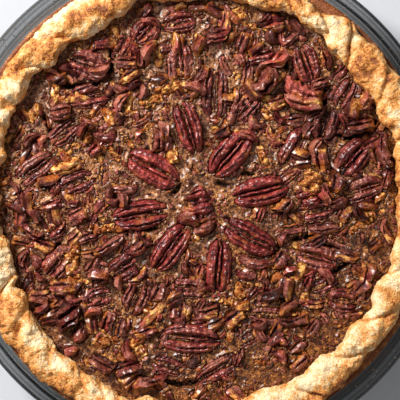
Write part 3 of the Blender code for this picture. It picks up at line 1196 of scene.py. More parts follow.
@dataclass
class Kernel:
    """One pecan half or a piece of one, lying on its belly at a place, with its size as seen from above."""

    x: float
    y: float
    z: float
    heading: float
    length: float
    width: float
    cut: Cut = Cut.WHOLE
    bright: float = 0.0
    tone: float = 0.5
    seed: int = 0
    pitch: float = 0.0
    roll: float = 0.0
    toast: float = 1.0
    along: int = 46
    across: int = 34

    def crown(self, u: Array, s: Array, rng: random.Random) -> tuple[Array, Array]:
        """The back of a half.

        Args:
            u: Each point's place lengthwise, -1 to 1.
            s: Each point's place crosswise, -1 to 1.
            rng: The half's own random numbers.

        Returns:
            The height at each point as a share of the full height, and a mask of the grooves and creases,
            which the finish paints near black as shade.
        """
        wave = rng.uniform(-0.06, 0.06) * np.sin(2.6 * u + rng.uniform(0, 6)) + rng.uniform(-0.05, 0.05)
        place = s - wave
        half_ridge = rng.uniform(0.13, 0.19) * (1 - 0.35 * u * u)
        share = rng.uniform(0.6, 0.9) * np.sqrt(np.clip(1 - (place / half_ridge) ** 2, 0, 1))
        creased = np.zeros_like(share)
        for side in (-1, 1):
            crest = rng.uniform(0.46, 0.56)
            gap = side * place - crest
            reach = np.where(gap < 0, crest - rng.uniform(0.14, 0.2) * (1 - 0.4 * u * u), 1.08 - crest)
            lobe = np.sqrt(np.clip(1 - np.abs(gap / reach) ** 2.3, 0, 1)) * rng.uniform(0.92, 1.06)
            crease = side * (place - side * rng.uniform(0.6, 0.72)) / 0.07
            line = np.exp(-(crease**2)) * (0.6 + 0.4 * np.sin(2.2 * u + rng.uniform(0, 6))) * (1 - u**4)
            lobe *= 1 - (0.2 + rng.uniform(0.04, 0.2)) * line
            creased = np.maximum(creased, line)
            share = np.maximum(share, lobe)
        share = np.maximum(share, 0.3 if self.cut in (Cut.WHOLE, Cut.SNAPPED) else 0.52)
        groove = smooth_step(0.72 - share, 0, 0.36) * (np.abs(place) < 0.42)
        groove = np.maximum(groove, 0.75 * creased)
        beads = self.length / (2.6 * MM) * math.pi
        skew = rng.uniform(-2.5, 2.5)
        bumps = np.sin(beads * u + skew * s + 50 * wave + rng.uniform(0, 6))
        return share * (1 + 0.03 * bumps * smooth_step(np.abs(s), 0.1, 0.5)), groove

    def solid(self) -> Solid:
        """The kernel as a closed solid with flesh, groove and tone attributes.

        Returns:
            The solid, in its place on the pie.
        """
        rng = random.Random(self.seed)
        (u0, u1), (s0, s1) = self.cut.value
        half_length, half_width = self.length / (u1 - u0), self.width / (s1 - s0)
        full = half_width * rng.uniform(0.95, 1.2)
        turns = np.linspace(0, math.pi, self.along)
        u_line = (u0 + u1) / 2 - (u1 - u0) / 2 * np.cos(turns)
        u_line = np.clip(u_line, -0.985, 0.985)
        s_line = np.linspace(s0, s1, self.across)
        u, s = np.meshgrid(u_line, s_line, indexing="ij")
        drift = np.full(u.size, self.seed * 1.7)
        flat = np.stack([u.ravel() * 3, s.ravel() * 1.5, drift], axis=1)
        jag = layered_noise(flat * 1.6, 1.0, self.seed, 3).reshape(u.shape)
        taper = (1 - np.abs(u + rng.uniform(-0.08, 0.08) * (1 - u * u)) ** rng.uniform(2.5, 3.2)) ** 0.55
        share, groove = self.crown(u, s, rng)
        hump = (1 - np.abs(u) ** rng.uniform(3.0, 4.2)) ** 0.5
        wrinkle = 0.15 * layered_noise(flat * np.array((2.6, 1.6, 1)), 1.0, self.seed + 9, 3)
        wrinkle += 0.13 * layered_noise(flat * np.array((1.0, 5.0, 1)), 1.0, self.seed + 5, 3)
        wrinkle = wrinkle.reshape(u.shape)
        height = full * (hump * share + wrinkle * hump * (1 - np.abs(s) ** 4))
        lumpy = self.cut is Cut.FLESH
        if lumpy:
            dome = np.sqrt(np.clip(1 - 0.9 * (2 * (s - s0) / (s1 - s0) - 1) ** 2, 0, 1))
            height = full * dome * (0.75 + 0.6 * jag)
        notch = rng.uniform(0.05, 0.16) * np.exp(-((s / 0.24) ** 2)) + rng.uniform(-0.08, 0.08) * s
        x = half_length * u * (1 - notch * u**6)
        edge = np.stack([u.ravel() * 3.4, np.sign(s.ravel()), drift], 1)
        ragged = 1 + 0.09 * layered_noise(edge, 1.0, self.seed, 2)
        y = half_width * s * taper * ragged.reshape(u.shape)
        cut_end, bare = np.zeros_like(u), np.zeros_like(u)
        edges = [(u, u0, u0 > -0.95, x, half_length), (u, u1, u1 < 0.95, x, half_length)]
        edges += [(s, s0, abs(s0) < 0.99, y, half_width), (s, s1, abs(s1) < 0.99, y, half_width)]
        for line, limit, is_cut, move, reach in edges:
            if is_cut:
                shows = float(rng.random() < 0.3 + 0.7 * self.bright)
                near = np.abs(line - limit)
                move += np.exp(-((near / 0.15) ** 2)) * jag * reach * 0.22
                cut_end = np.maximum(cut_end, np.exp(-((near / 0.12) ** 2)))
                bare = np.maximum(bare, shows * np.exp(-((near / rng.uniform(0.12, 0.3)) ** 2)))
        height *= 1 - 0.3 * cut_end
        height = np.maximum(height, 0.25 * MM)
        flesh = smooth_step(bare + 0.7 * jag, 0.5, 0.95) * (bare > 0.02)
        pale = smooth_step(jag * 0.9 + self.bright * 2.4 - 1.2, 0.0, 0.3) * self.bright
        flesh = np.clip(flesh + pale, 0, 1)
        # Painted light and shade: the tone is lighter high on the crown and darker low down.
        tone = self.tone + 0.4 * (np.clip(height / full, 0, 1.1) - 0.75)
        return self._closed(x, y, height, flesh, groove * (1 - flesh) * (not lumpy), tone, rng)

    def _closed(
        self,
        x: Array,
        y: Array,
        height: Array,
        flesh: Array,
        groove: Array,
        tone: Array,
        rng: random.Random,
    ) -> Solid:
        """Closes a crown with its flanks and belly, and puts it in its place.

        Args:
            x: The crown's points lengthwise.
            y: The crown's points crosswise.
            height: The crown's points' heights above the belly.
            flesh: Where bare flesh shows.
            groove: Where the grooves are.
            tone: The tone of the skin, with painted light on the high crests and painted shade low down.
            rng: The kernel's own random numbers.

        Returns:
            The solid.
        """
        columns = [(x, y, height, flesh, groove, tone)]

        def strip(source: int, drop: float, pull: float) -> tuple[Array, ...]:
            """A column of points below one flank of the crown.

            Args:
                source: The column of the crown that it hangs from.
                drop: The share of the height that is left.
                pull: The share of the half width that is left.

            Returns:
                The column, as the crown's columns are.
            """
            edge = slice(source, source + 1) if source >= 0 else slice(source, None)
            middle = y.mean(axis=1, keepdims=True)
            return (
                x[:, edge],
                middle + (y[:, edge] - middle) * pull,
                height[:, edge] * drop,
                flesh[:, edge] * 0.4,
                groove[:, edge],
                # Painted shade: the flanks take a darker tone.
                tone[:, edge] - 0.1,
            )

        columns += [strip(-1, 0.5, 1.0), strip(-1, 0.0, 0.9), strip(0, 0.0, 0.9), strip(0, 0.5, 1.0)]
        x, y, z, flesh, groove, tone = (np.concatenate(parts, axis=1) for parts in zip(*columns))
        loops = np.stack([x, y, z], axis=2)
        caps = []
        for row in (0, -1):
            middle = loops[row].mean(axis=0)
            caps.append([middle + (loops[row] - middle) * share for share in (0.3, 0.7)])
        loops = np.concatenate([np.array(caps[0]), loops, np.array(caps[1][::-1])])
        start, end = flesh[:1].repeat(2, axis=0), flesh[-1:].repeat(2, axis=0)
        flesh = np.concatenate([start, flesh, end])
        groove = np.concatenate([start * 0, groove, end * 0])
        tone = np.concatenate([tone[:1].repeat(2, axis=0), tone, tone[-1:].repeat(2, axis=0)])
        poles = (loops[0].mean(axis=0), loops[-1].mean(axis=0))
        toast = np.full_like(tone, self.toast)
        solid = Solid.loft(loops, {"flesh": flesh, "groove": groove, "tone": tone, "toast": toast}, poles)
        self._chop(solid, rng)
        solid.points = self.placed(solid.points)
        lumps, grit = (0.5, 0.2) if self.cut is Cut.WHOLE else (0.45, 0.5)
        for axis in range(3):
            lump = layered_noise(solid.points, 4.5 * MM, self.seed + 50 * axis, 2)
            solid.points[:, axis] += lumps * MM * lump
            grain = layered_noise(solid.points, 1.5 * MM, self.seed + 9 * axis, 1)
            solid.points[:, axis] += grit * MM * grain
        return solid

    def _chop(self, solid: Solid, rng: random.Random) -> None:
        """Presses the kernel flat against random planes, as a knife would, and bares some flesh there.

        Args:
            solid: The kernel, which is changed.
            rng: The kernel's own random numbers.
        """
        middle = (solid.points.min(axis=0) + solid.points.max(axis=0)) / 2
        half = np.ptp(solid.points, axis=0) / 2
        for _ in range(KNIFE_CUTS[self.cut]):
            turn, rise = rng.uniform(0, 2 * math.pi), math.radians(rng.choice((-10, 5, 20, 55, 75)))
            level = math.cos(rise)
            normal = np.array((math.cos(turn) * level, math.sin(turn) * level, math.sin(rise)))
            limit = np.linalg.norm(half * normal) * rng.uniform(0.55, 0.85)
            over = (solid.points - middle) @ normal - limit
            over -= 0.5 * MM * layered_noise(solid.points, 2.2 * MM, self.seed, 2)
            over = np.maximum(over, 0)
            solid.points -= over[:, None] * normal
            shows = float(rng.random() < 0.25 + 0.75 * self.bright)
            bare = shows * smooth_step(over, 0.05 * MM, 0.4 * MM)
            solid.attributes["flesh"] = np.maximum(solid.attributes["flesh"], bare)
            solid.attributes["groove"] *= 1 - bare

    def placed(self, points: Array) -> Array:
        """The kernel's own points, moved to its place on the pie.

        Args:
            points: The points, about the kernel's own middle.

        Returns:
            The moved points.
        """
        (u0, u1), (s0, s1) = self.cut.value
        middle = (self.length * (u0 + u1) / 2 / (u1 - u0), self.width * (s0 + s1) / 2 / (s1 - s0), 0)
        points = points - np.array(middle)
        pitch, roll, turn = (math.radians(a) for a in (self.pitch, self.roll, self.heading))
        x, y, z = points.T
        y, z = y * math.cos(roll) - z * math.sin(roll), y * math.sin(roll) + z * math.cos(roll)
        x, z = x * math.cos(pitch) - z * math.sin(pitch), x * math.sin(pitch) + z * math.cos(pitch)
        x, y = x * math.cos(turn) - y * math.sin(turn), x * math.sin(turn) + y * math.cos(turn)
        return np.stack([x + self.x, y + self.y, z + self.z], axis=1)


@dataclass(frozen=True)
class Half:
    """How one of the CAD model's pecans looks: its heading, size in millimetres, cut and colour."""

    heading: float
    length: float
    width: float
    cut: Cut = Cut.WHOLE
    tone: float = 0.5
    bright: float = 0.0
    roll: float = 0.0


# The kinds of cut, by their first letters.
W, S, B, L, C, F = Cut
# One for each pecan of the CAD model, in its order: the petals, the middle one, and those around them.
HALVES = tuple(Half(*row) for row in (
    (-30, 28, 14.5, W, 0.7), (-72, 27, 12, W, 0.5), (50, 27, 14.5, W, 0.55), (15, 28, 14, W, 0.6),
    (-28, 27, 13, W, 0.5), (86, 27, 12.5, W, 0.55), (52, 27, 13, W, 0.6), (9, 28, 14, W, 0.55),
    (8, 13, 14, B, 0.65), (88, 14, 12, F, 0.8, 0.9), (60, 22, 11, W, 0.4, 0, 20), (54, 15, 12, S, 0.4),
    (88, 26, 13, W, 0.3), (-88, 18, 13, S, 0.6, 0.2), (27, 14, 7, B, 0.35), (36, 16, 9, B, 0.55, 0.2),
    (22, 20, 11, W, 0.4), (30, 15, 13, S, 0.2), (68, 17, 12.5, S, 0.5), (-6, 18, 10.5, S, 0.5),
    (-3, 20, 8.5, W, 0.6), (-8, 20, 9.5, W, 0.55), (8, 20, 10.5, W, 0.5), (20, 20, 11.5, W, 0.5),
    (50, 21, 14, W, 0.4, 0.15), (74, 18, 13, W, 0.2), (62, 16, 9.5, W, 0.5), (-22, 23, 8, L, 1.3, 0.15),
    (108, 20, 12.5, W, 0.5), (12, 18, 11, W, 0.45), (48, 16, 13, W, 0.5), (-20, 20, 14, W, 0.45, 0.1),
    (12, 20, 12.5, S, 0.4, 0.1), (38, 18, 10.5, W, 0.45), (36, 23, 11.5, W, 0.45),
    (46, 16, 8.5, W, 0.75, 0.2), (50, 14, 12, B, 0.8, 0.25), (16, 15, 10, W, 0.5), (-18, 18, 9, W, 0.5),
    (-3, 30, 14, W, 0.6), (32, 26, 10, W, 0.55), (25, 17, 8, S, 0.45), (-16, 21, 13.5, W, 0.6, 0.35),
    (27, 17, 8, W, 0.6), (-8, 15, 12, W, 0.5), (-24, 14, 8, W, 0.5),
))


@dataclass(frozen=True)
class Chop:
    """One listed piece of chopped pecan: place, heading and size in millimetres and degrees."""

    x: float
    y: float
    heading: float
    length: float
    width: float
    cut: Cut
    tone: float = 0.5
    bright: float = 0.0


# The chopped pieces, in groups from the middle outwards.
CHOPS = tuple(Chop(*row) for row in (
    # Inside the petals.
    (4.5, -12, 20, 11, 8.5, C, 0.6), (12.5, -0.5, -50, 7, 4, F, 0.8, 1),
    (1.6, 18, -50, 8.5, 3.6, F, 0.7, 1), (-1.4, 15.6, -50, 8, 3, L, 0.6), (-4, 12, 60, 6, 5, F, 0.75, 0.8),
    (1, -16, 10, 7, 3.6, F, 0.9, 1), (-15, 44, 70, 6, 5, F, 0.5, 0.6), (-18.5, 28.5, 80, 12, 5.5, L, 0.5),
    (-13, 27, 75, 9, 4, L, 0.6), (1, -34, 80, 8, 5, C, 0.7, 0.3), (33, -6, 30, 6, 5, C, 0.8, 0.4),
    (42, -8.5, 0, 5, 3.6, F, 0.6, 0.7),
    # Above the petals.
    (17, 88, -40, 14, 4.5, L, 0.8, 0.2), (4.5, 73, 92, 17, 3.6, F, 0.3, 0.7),
    (13.5, 63.5, -62, 12, 4.5, L, 0.8, 0.4), (31, 69, 12, 14, 6.5, C, 0.5), (33, 58, 50, 17, 8, L, 0.5),
    (37, 56, 50, 14, 3.4, F, 0.8, 1), (-11, 54, 15, 15, 6, F, 0.85, 1), (-22, 47.6, 20, 12, 6, F, 0.9, 1),
    (-33, 44, 80, 16, 6.5, F, 0.9, 1), (-26, 38.5, 35, 13, 4.5, L, 0.45),
    (-23.6, 35, 35, 11, 3.4, F, 0.7, 1), (36, 83, 20, 11, 8, C, 0.8, 0.5), (26, 83, 0, 6, 4, F, 0.5, 0.8),
    (62, 67, 100, 12, 5, L, 0.6, 0.3), (52, 47, -6, 22, 7, L, 1.15, 0.1), (38, 47, 20, 8, 7, C, 0.7, 0.3),
    (79, 47, 60, 10, 7, L, 0.9, 0.5), (77, 36, 10, 14, 7, C, 0.3), (2, 60, 60, 9, 6, C, 0.4),
    (-17, 72, 20, 11, 7, C, 0.45), (22, 75, 70, 12, 7, C, 0.4), (10, 79, 10, 12, 8, C, 0.4),
    (-35, 74, 60, 11, 8, C, 0.45), (-33, 66, 0, 10, 7, C, 0.5), (-31, 60, 30, 12, 7, C, 0.6, 0.2),
    (24, 60, 80, 12, 7, C, 0.45), (43, 78, 40, 12, 7, C, 0.4), (0, 92, 0, 9, 5, C, 0.4),
    (46, 61, 70, 8, 5, C, 0.4),
    # To the left.
    (-46, 75, 10, 11, 7.5, C, 0.5), (-64, 43, 10, 10, 8, C, 0.5), (-43, 30, 8, 13, 5, L, 0.5),
    (-61, 17, 20, 20, 6, L, 1.0, 0.8), (-45, 14, 80, 13, 6, C, 0.45), (-59, 24.5, 40, 12, 6, F, 0.85, 1),
    (-52.6, 30, 40, 6, 6, F, 0.5, 0.8), (-48, 24, 50, 7, 7, C, 0.6, 0.1),
    (-39, 22, -50, 10, 4.4, F, 0.6, 1), (-34, 29, 80, 7, 4, F, 0.8, 1), (-34, 11.6, -35, 9, 5, C, 0.5),
    (-36, 5, 0, 16, 5, L, 0.6, 0.2), (-57, -7, 30, 9, 8, C, 0.9, 0.1), (-77, -10, -35, 8.5, 3.6, F, 0.9, 1),
    (-80, -14.4, -38, 13, 5, L, 0.6), (-66, -15, 45, 12, 5, L, 0.55), (-44, -13, 10, 9.5, 5, F, 0.85, 1),
    (-43, -4, 35, 8, 5, C, 0.5), (-43, -22, 33, 20, 5, L, 0.6), (-28.6, -23, 42, 11, 6, L, 0.5),
    (-59, -25, 60, 9, 7, F, 0.6, 0.9), (-58, -37, 20, 8.5, 6, F, 0.85, 1), (-50, -10, 70, 8, 5, C, 0.4),
    (-70, -2, 20, 10, 6, C, 0.5), (-53, -17, 20, 11, 6, C, 0.4), (-50, -30, 60, 11, 7, C, 0.45),
    (-68, 6, 60, 9, 5, L, 0.55), (-73, -22, -20, 10, 6, C, 0.45), (-86, -12, 80, 8, 4, C, 0.6),
    (-46, -38, 20, 9, 6, C, 0.5),
    # Below the petals.
    (-65, -42, 0, 12, 9, C, 0.8), (-62, -54, 30, 15, 12, C, 0.2), (-55, -63.5, 60, 12, 6, L, 0.5),
    (-43, -57, 70, 9, 7, C, 0.5), (-36, -60.5, 80, 8, 6, C, 0.5), (-45, -68, 20, 9.5, 6, F, 0.35, 0.8),
    (-28.5, -70, -50, 13, 6, F, 0.85, 0.95), (-20, -53, 48, 27, 4.6, L, 0.9, 0.5),
    (-19, -43.5, 70, 10, 8, C, 0.6, 0.3), (-6.5, -53, 80, 8, 7, C, 0.5), (6, -52.5, 10, 12, 8.5, C, 0.5),
    (16, -48.4, -10, 14, 5, F, 0.8, 1), (17.5, -56.5, 40, 12, 7.5, C, 0.5), (-5, -75, 0, 6, 5, C, 0.9, 0.3),
    (-25, -62, 20, 11, 7, C, 0.45), (-46, -77.4, -28, 13, 7, C, 0.45), (-33, -80, 20, 13, 8, C, 0.4),
    (-20, -86, 5, 13, 5, L, 0.5), (48, -78, 42, 15, 5.5, L, 0.75), (30, -77, 0, 7.5, 4.4, F, 0.4, 0.8),
    (12, -88, 20, 7, 5, F, 0.2, 0.7), (2, -89, 0, 6, 4.4, F, 0.3, 0.6), (37, -66, 30, 12, 7, C, 0.4),
    (20, -74, 70, 9, 5, C, 0.5), (-17, -66, 60, 9, 5, C, 0.4), (-54, -46, 80, 8, 6, C, 0.45),
    (0, -59, 10, 10, 5, C, 0.4),
    # To the right.
    (31.4, 21, -72, 13, 5.4, F, 0.55, 0.95), (36, 30, -48, 12, 4.6, L, 0.9, 0.5),
    (58, 21, 100, 14, 9, C, 0.55), (66, 8.6, 80, 11, 9, C, 0.25, 0.2), (88.6, 22, -75, 19, 7, L, 0.3),
    (82, -7, 30, 8.5, 8, F, 0.7, 1), (92, -1, 80, 8, 3.6, F, 0.6, 1), (41, -2.6, 50, 11, 6, L, 0.5),
    (55, -1.4, 10, 10, 5, L, 0.55), (45, -13.4, 10, 14, 6, C, 0.5), (60, -13, 5, 14, 6, C, 0.45),
    (74, -13.4, 45, 7.5, 4.6, F, 0.4, 0.9), (70, -26, -15, 13, 6, C, 0.5), (55, -49.4, 0, 10, 5, C, 0.5),
    (48.6, -54.4, -3, 10.5, 5.4, F, 0.8, 1), (43, -61.5, 30, 6, 5.4, F, 0.85, 1),
    (56, -61, 57, 13, 3.6, L, 0.9, 0.4), (45.4, -37, 90, 8.6, 4.8, F, 1.0, 1),
    (39, -29, 60, 9, 7.5, C, 0.5), (27, -29.6, -14, 17, 5.4, L, 0.55), (23, -36.4, -10, 11, 4.6, L, 0.55),
    (22, -41, 0, 8, 4.6, F, 0.3, 0.6), (44, 12, 40, 10, 6, C, 0.4), (46, 38, 10, 11, 7, C, 0.45),
    (88, 36, 60, 11, 6, C, 0.4), (70, -6, 60, 10, 7, C, 0.45), (90, 10, 70, 9, 5, C, 0.5),
    (48, -70, 40, 10, 6, C, 0.4), (82, 26, 30, 10, 6, C, 0.5, 0.2), (58, 56, 20, 9, 6, C, 0.4),
    (68, 62, 40, 9, 6, C, 0.5), (52, -40, 60, 8, 5, C, 0.4), (50, 3, 20, 9, 5, C, 0.5),
))


@dataclass
class Pecans:
    """All pecans as large as a berry: those of the CAD model, and the chopped ones between them."""

    bed: float
    sink: float = 2.0 * MM
    petals: int = 9
    first_chop_seed: int = 501
    first_fragment_seed: int = 900

    def kernels(self) -> dict[str, Kernel]:
        """The CAD model's pecans by node name, each in the middle of its node's box.

        Returns:
            The kernels.
        """
        found = {}
        for number, half in enumerate(HALVES, start=1):
            node = f"pecan_{number:02d}"
            low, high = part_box(node)
            luck = random.Random(number)
            found[node] = Kernel(
                x=(low[0] + high[0]) / 2,
                y=(low[1] + high[1]) / 2,
                z=self.bed - self.sink - (0 if number <= self.petals else luck.uniform(0.4, 1.3)) * MM,
                heading=half.heading,
                length=half.length * MM,
                width=half.width * MM,
                cut=half.cut,
                bright=half.bright,
                tone=half.tone,
                seed=number,
                pitch=luck.uniform(-4, 4),
                roll=half.roll + luck.uniform(-5, 5),
                toast=0.0 if number <= self.petals else luck.uniform(0.4, 1.0),
                along=56,
                across=42,
            )
        return found

    def chopped(self) -> list[Kernel]:
        """The listed chopped pieces.

        Returns:
            The kernels.
        """
        pieces = []
        for number, chop in enumerate(CHOPS, start=self.first_chop_seed):
            luck = random.Random(number)
            pieces.append(
                Kernel(
                    x=chop.x * MM,
                    y=chop.y * MM,
                    z=self.bed - self.sink + luck.uniform(-0.4, 1.4) * MM,
                    heading=chop.heading,
                    length=chop.length * MM,
                    width=chop.width * MM,
                    cut=chop.cut,
                    bright=chop.bright,
                    tone=chop.tone,
                    seed=number,
                    pitch=luck.uniform(-9, 9),
                    roll=luck.uniform(-12, 12),
                    along=28,
                    across=18,
                )
            )
        return pieces

    def fragments(self) -> list[Solid]:
        """A few broken pieces about 9 mm long at the origin, for spreading between the others.

        Returns:
            The solids.
        """
        solids = []
        for number, cut in enumerate((L, C, C, L, C, F, C, L, C, F), start=self.first_fragment_seed):
            luck = random.Random(number)
            length = luck.uniform(8, 11) * MM
            width = length * luck.uniform(0.45, 0.75)
            bright = 1.0 if cut is Cut.FLESH else luck.choice((0.1, 0.3, 0.5))
            kernel = Kernel(
                x=0, y=0, z=0, heading=0, length=length, width=width, cut=cut, bright=bright,
                tone=luck.uniform(0.35, 0.75), seed=number, along=11, across=7,
            )
            solids.append(kernel.solid())
        return solids

    def build(self, material: Material) -> tuple[dict[str, Object], Object]:
        """Makes the pecans.

        Args:
            material: Their finish.

        Returns:
            The CAD model's pecans by node name, and the chopped ones as one piece.
        """
        kernels = self.kernels()
        objects = {node: kernels[node].solid().piece(f"nut_{node}", material, WELD) for node in kernels}
        solids = [kernel.solid() for kernel in self.chopped()]
        chopped = Solid.joined(solids).piece("chopped_pecans", material, WELD)
        chopped.data.set_sharp_from_angle(angle=math.radians(45))
        return objects, chopped


# ---------------------------------------------------------------- the custard


@dataclass(frozen=True)
class Crack:
    """A gap where the custard pulled away from the nuts, as points in millimetres."""

    route: tuple[tuple[float, float], ...]
    width: float = 1.6
    depth: float = 4.0


CRACKS = tuple(Crack(*row) for row in (
    (((-41, 74), (-41, 66), (-43, 60)),), (((-66, 55), (-58, 54.5), (-48, 56)), 1.8),
    (((46, 62), (49, 58), (48, 53)),), (((60, 46), (62, 50), (61, 57)),), (((41, 71), (42, 64)),),
    (((66, 32.5), (72, 30), (80, 32), (85, 37)), 1.8), (((46, -18.5), (53, -17)),),
    (((60, -22.5), (67, -22)), 1.8), (((74, -26), (70, -31), (66, -33), (63, -38), (62, -43)), 1.4),
    (((-16, -86), (-9, -88), (-1, -86.5)),), (((-71, -27), (-66, -21)),), (((-73, 40), (-70, 33)),),
    (((10, 8.5), (15, 7.0)), 1.4, 3.0), (((-8.5, 7.5), (-11, 4)), 1.4, 3.0), (((22, 13), (26, 12.5)), 1.2),
    (((14, -8.6), (21, -11.5)), 1.3, 3.0), (((-24, 24), (-27, 19.5)), 1.2), (((-30, -14), (-20, -13)), 1.2),
    (((40, -20), (36, -26)), 1.3), (((-37, -12), (-33, -16)), 1.2), (((-52, -53), (-49, -60)), 1.4),
))


@dataclass(frozen=True)
class Clearing:
    """A round part of the top with few nuts: its middle and radius in millimetres, and how clear it is."""

    x: float
    y: float
    radius: float
    strength: float = 0.9


CLEARINGS = tuple(Clearing(*row) for row in (
    (-83, 50, 8), (-79, 40, 6, 0.6), (65, -66, 9), (32, -82, 10), (84, -26, 9), (0, 10, 17, 1.0),
    (8, -3, 14, 1.0), (-8, 2, 14, 1.0), (-10, -18, 12, 0.7), (-92, 5, 5, 0.5), (52, -70, 8, 0.8),
    (-20, 62, 5, 0.5), (18, -16, 12, 0.7), (-21, 15, 11, 1.0), (-4, 35, 11, 1.0), (16, 22, 11, 1.0),
    (30, 4, 11, 1.0), (25, -18, 11, 1.0), (10, -31, 11, 1.0), (-13, -23, 11, 1.0), (-27, -6, 11, 1.0),
))


@dataclass
class Custard:
    """The filling: a solid to the crust's rim, with a lumpy, pitted top that climbs the nuts."""

    bed: float
    steps: int = 296
    radius: float = 95 * MM
    dome: float = 1.0 * MM
    border: float = 0.9 * MM
    foot: float = 9.4 * MM

    def solid(self) -> Solid:
        """The filling before its pits: a disc-shaped grid on top, and a skirt down to a flat base.

        Returns:
            The solid.
        """
        line = np.linspace(-1, 1, self.steps)
        u, v = np.meshgrid(line, line, indexing="ij")
        x, y = u * np.sqrt(1 - v * v / 2), v * np.sqrt(1 - u * u / 2)
        angle = np.degrees(np.arctan2(y, x))
        reach = around_the_rim(INNER_EDGE, angle.ravel()).reshape(x.shape) + self.border
        out = np.sqrt(x * x + y * y)
        rim_share = smooth_step(out, 0.55, 1.0)
        radius = out * (self.radius * (1 - rim_share) + reach * rim_share)
        turn = np.arctan2(y, x)
        x, y = radius * np.cos(turn), radius * np.sin(turn)
        top = np.stack([x.ravel(), y.ravel(), np.zeros(x.size)], axis=1)
        fall = self.gap_depth(top)
        top[:, 2] = self.bed + self.dome * (1 - (radius.ravel() / self.radius) ** 2) - fall
        count = self.steps
        index = np.arange(count * count).reshape(count, count)
        faces = [
            tuple(int(i) for i in quad)
            for quad in zip(
                index[:-1, :-1].ravel(), index[1:, :-1].ravel(), index[1:, 1:].ravel(), index[:-1, 1:].ravel()
            )
        ]
        loop = np.concatenate([index[:-1, 0], index[-1, :-1], index[:0:-1, -1], index[0, :0:-1]])
        points, level = [top], loop
        start = len(top)
        for share, height in ((0.985, 24 * MM), (0.93, self.foot)):
            ring = top[loop] * share
            ring[:, 2] = height
            points.append(ring)
            below = start + np.arange(len(loop))
            start += len(loop)
            after = np.roll(np.arange(len(loop)), -1)
            faces += [tuple(int(i) for i in quad) for quad in zip(level, below, below[after], level[after])]
            level = below
        points.append(np.array([[0, 0, self.foot]]))
        faces += [(int(a), int(start), int(b)) for a, b in zip(level, np.roll(level, -1))]
        points = np.concatenate(points)
        open_top, depth, crowded = np.zeros((3, len(points)))
        open_top[: count * count] = smooth_step(1 - out.ravel(), 0.0, 0.02)
        # The cracks' depth is kept as a mask that the finish paints dark: painted shade.
        depth[: count * count] = np.clip(fall / (2.5 * MM), 0, 1)
        crowded[: count * count] = smooth_step(1 - out.ravel(), 0.02, 0.05) * self.crowding(top)
        crowded *= 1 - smooth_step(depth, 0.15, 0.5)
        return Solid(points, faces, {"open_top": open_top, "depth": depth, "crowded": crowded})

    @staticmethod
    def crowding(points: Array) -> Array:
        """How thickly chopped nuts lie at each point, 0 to 1.

        Args:
            points: The points.

        Returns:
            One value for each point.
        """
        share = np.ones(len(points))
        for clearing in CLEARINGS:
            gap = np.linalg.norm(points[:, :2] / MM - (clearing.x, clearing.y), axis=1) / clearing.radius
            share = np.minimum(share, 1 - clearing.strength * smooth_step(gap, 1.25, 0.75))
        return share

    def gap_depth(self, points: Array) -> Array:
        """How deep the cracks are at each point, in metres.

        Args:
            points: The points.

        Returns:
            One value for each point.
        """
        wander = 1 + 0.5 * layered_noise(points, 3 * MM, 40, 2)
        deepest = np.zeros(len(points))
        for crack in CRACKS:
            for start, end in zip(crack.route, crack.route[1:]):
                a, b = np.array(start) * MM, np.array(end) * MM
                share = np.clip((points[:, :2] - a) @ (b - a) / ((b - a) @ (b - a)), 0, 1)
                gap = np.linalg.norm(points[:, :2] - a - share[:, None] * (b - a), axis=1)
                fall = crack.depth * MM * np.exp(-((gap / (crack.width * 0.75 * MM * wander)) ** 2))
                deepest = np.maximum(deepest, fall)
        return deepest

    def pitting_tree(self) -> Tree:
        """The Geometry Nodes tree that lumps and pits the open top and draws it up to the nuts.

        Returns:
            The tree.
        """
        tree = Growth("pitted_top", {
            "Lump Height": 1.1 * MM, "Lumps per Metre": 95.0,
            "Ripple Height": 0.8 * MM, "Ripples per Metre": 420.0,
            "Pit Depth": 1.3 * MM, "Pits per Metre": 330.0,
            "Fine Pit Depth": 0.7 * MM, "Fine Pits per Metre": 760.0,
            "Climb": 1.5 * MM, "Reach": 2.6 * MM, "Hollow": 2.4 * MM, "Seed": 3.0, "Nuts": "Object",
        })
        given = tree.given
        place = tree.node("GeometryNodeInputPosition").outputs[0]
        nuts = tree.nuts()

        def noise(scale: str) -> Socket:
            """Noise of about -1 to 1 at a named scale.

            Args:
                scale: The input that holds its scale.

            Returns:
                The noise.
            """
            inputs = {"Vector": place, "W": given["Seed"], "Scale": given[scale], "Detail": 3.0}
            node = tree.node("ShaderNodeTexNoise", inputs, noise_dimensions="4D")
            return tree.line(node.outputs[0], 3.0, -1.5)

        def pits(scale: str, wide: float, rare: float) -> Socket:
            """Round pits, 1 in the middle, in some cells of a named scale.

            Args:
                scale: The input that holds its scale.
                wide: The radius of a pit, in cells.
                rare: The share of cells with no pit.

            Returns:
                The mask.
            """
            inputs = {"Vector": place, "W": given["Seed"], "Scale": given[scale], "Randomness": 1.0}
            node = tree.node("ShaderNodeTexVoronoi", inputs, voronoi_dimensions="4D")
            inputs = {"Value": node.outputs["Distance"], 1: wide, 2: 0.0}
            bowl = tree.node("ShaderNodeMapRange", inputs, interpolation_type="SMOOTHSTEP").outputs[0]
            chosen = tree.node("FunctionNodeSeparateColor", {0: node.outputs["Color"]}).outputs[0]
            return tree.times(bowl, tree.math("GREATER_THAN", chosen, rare))

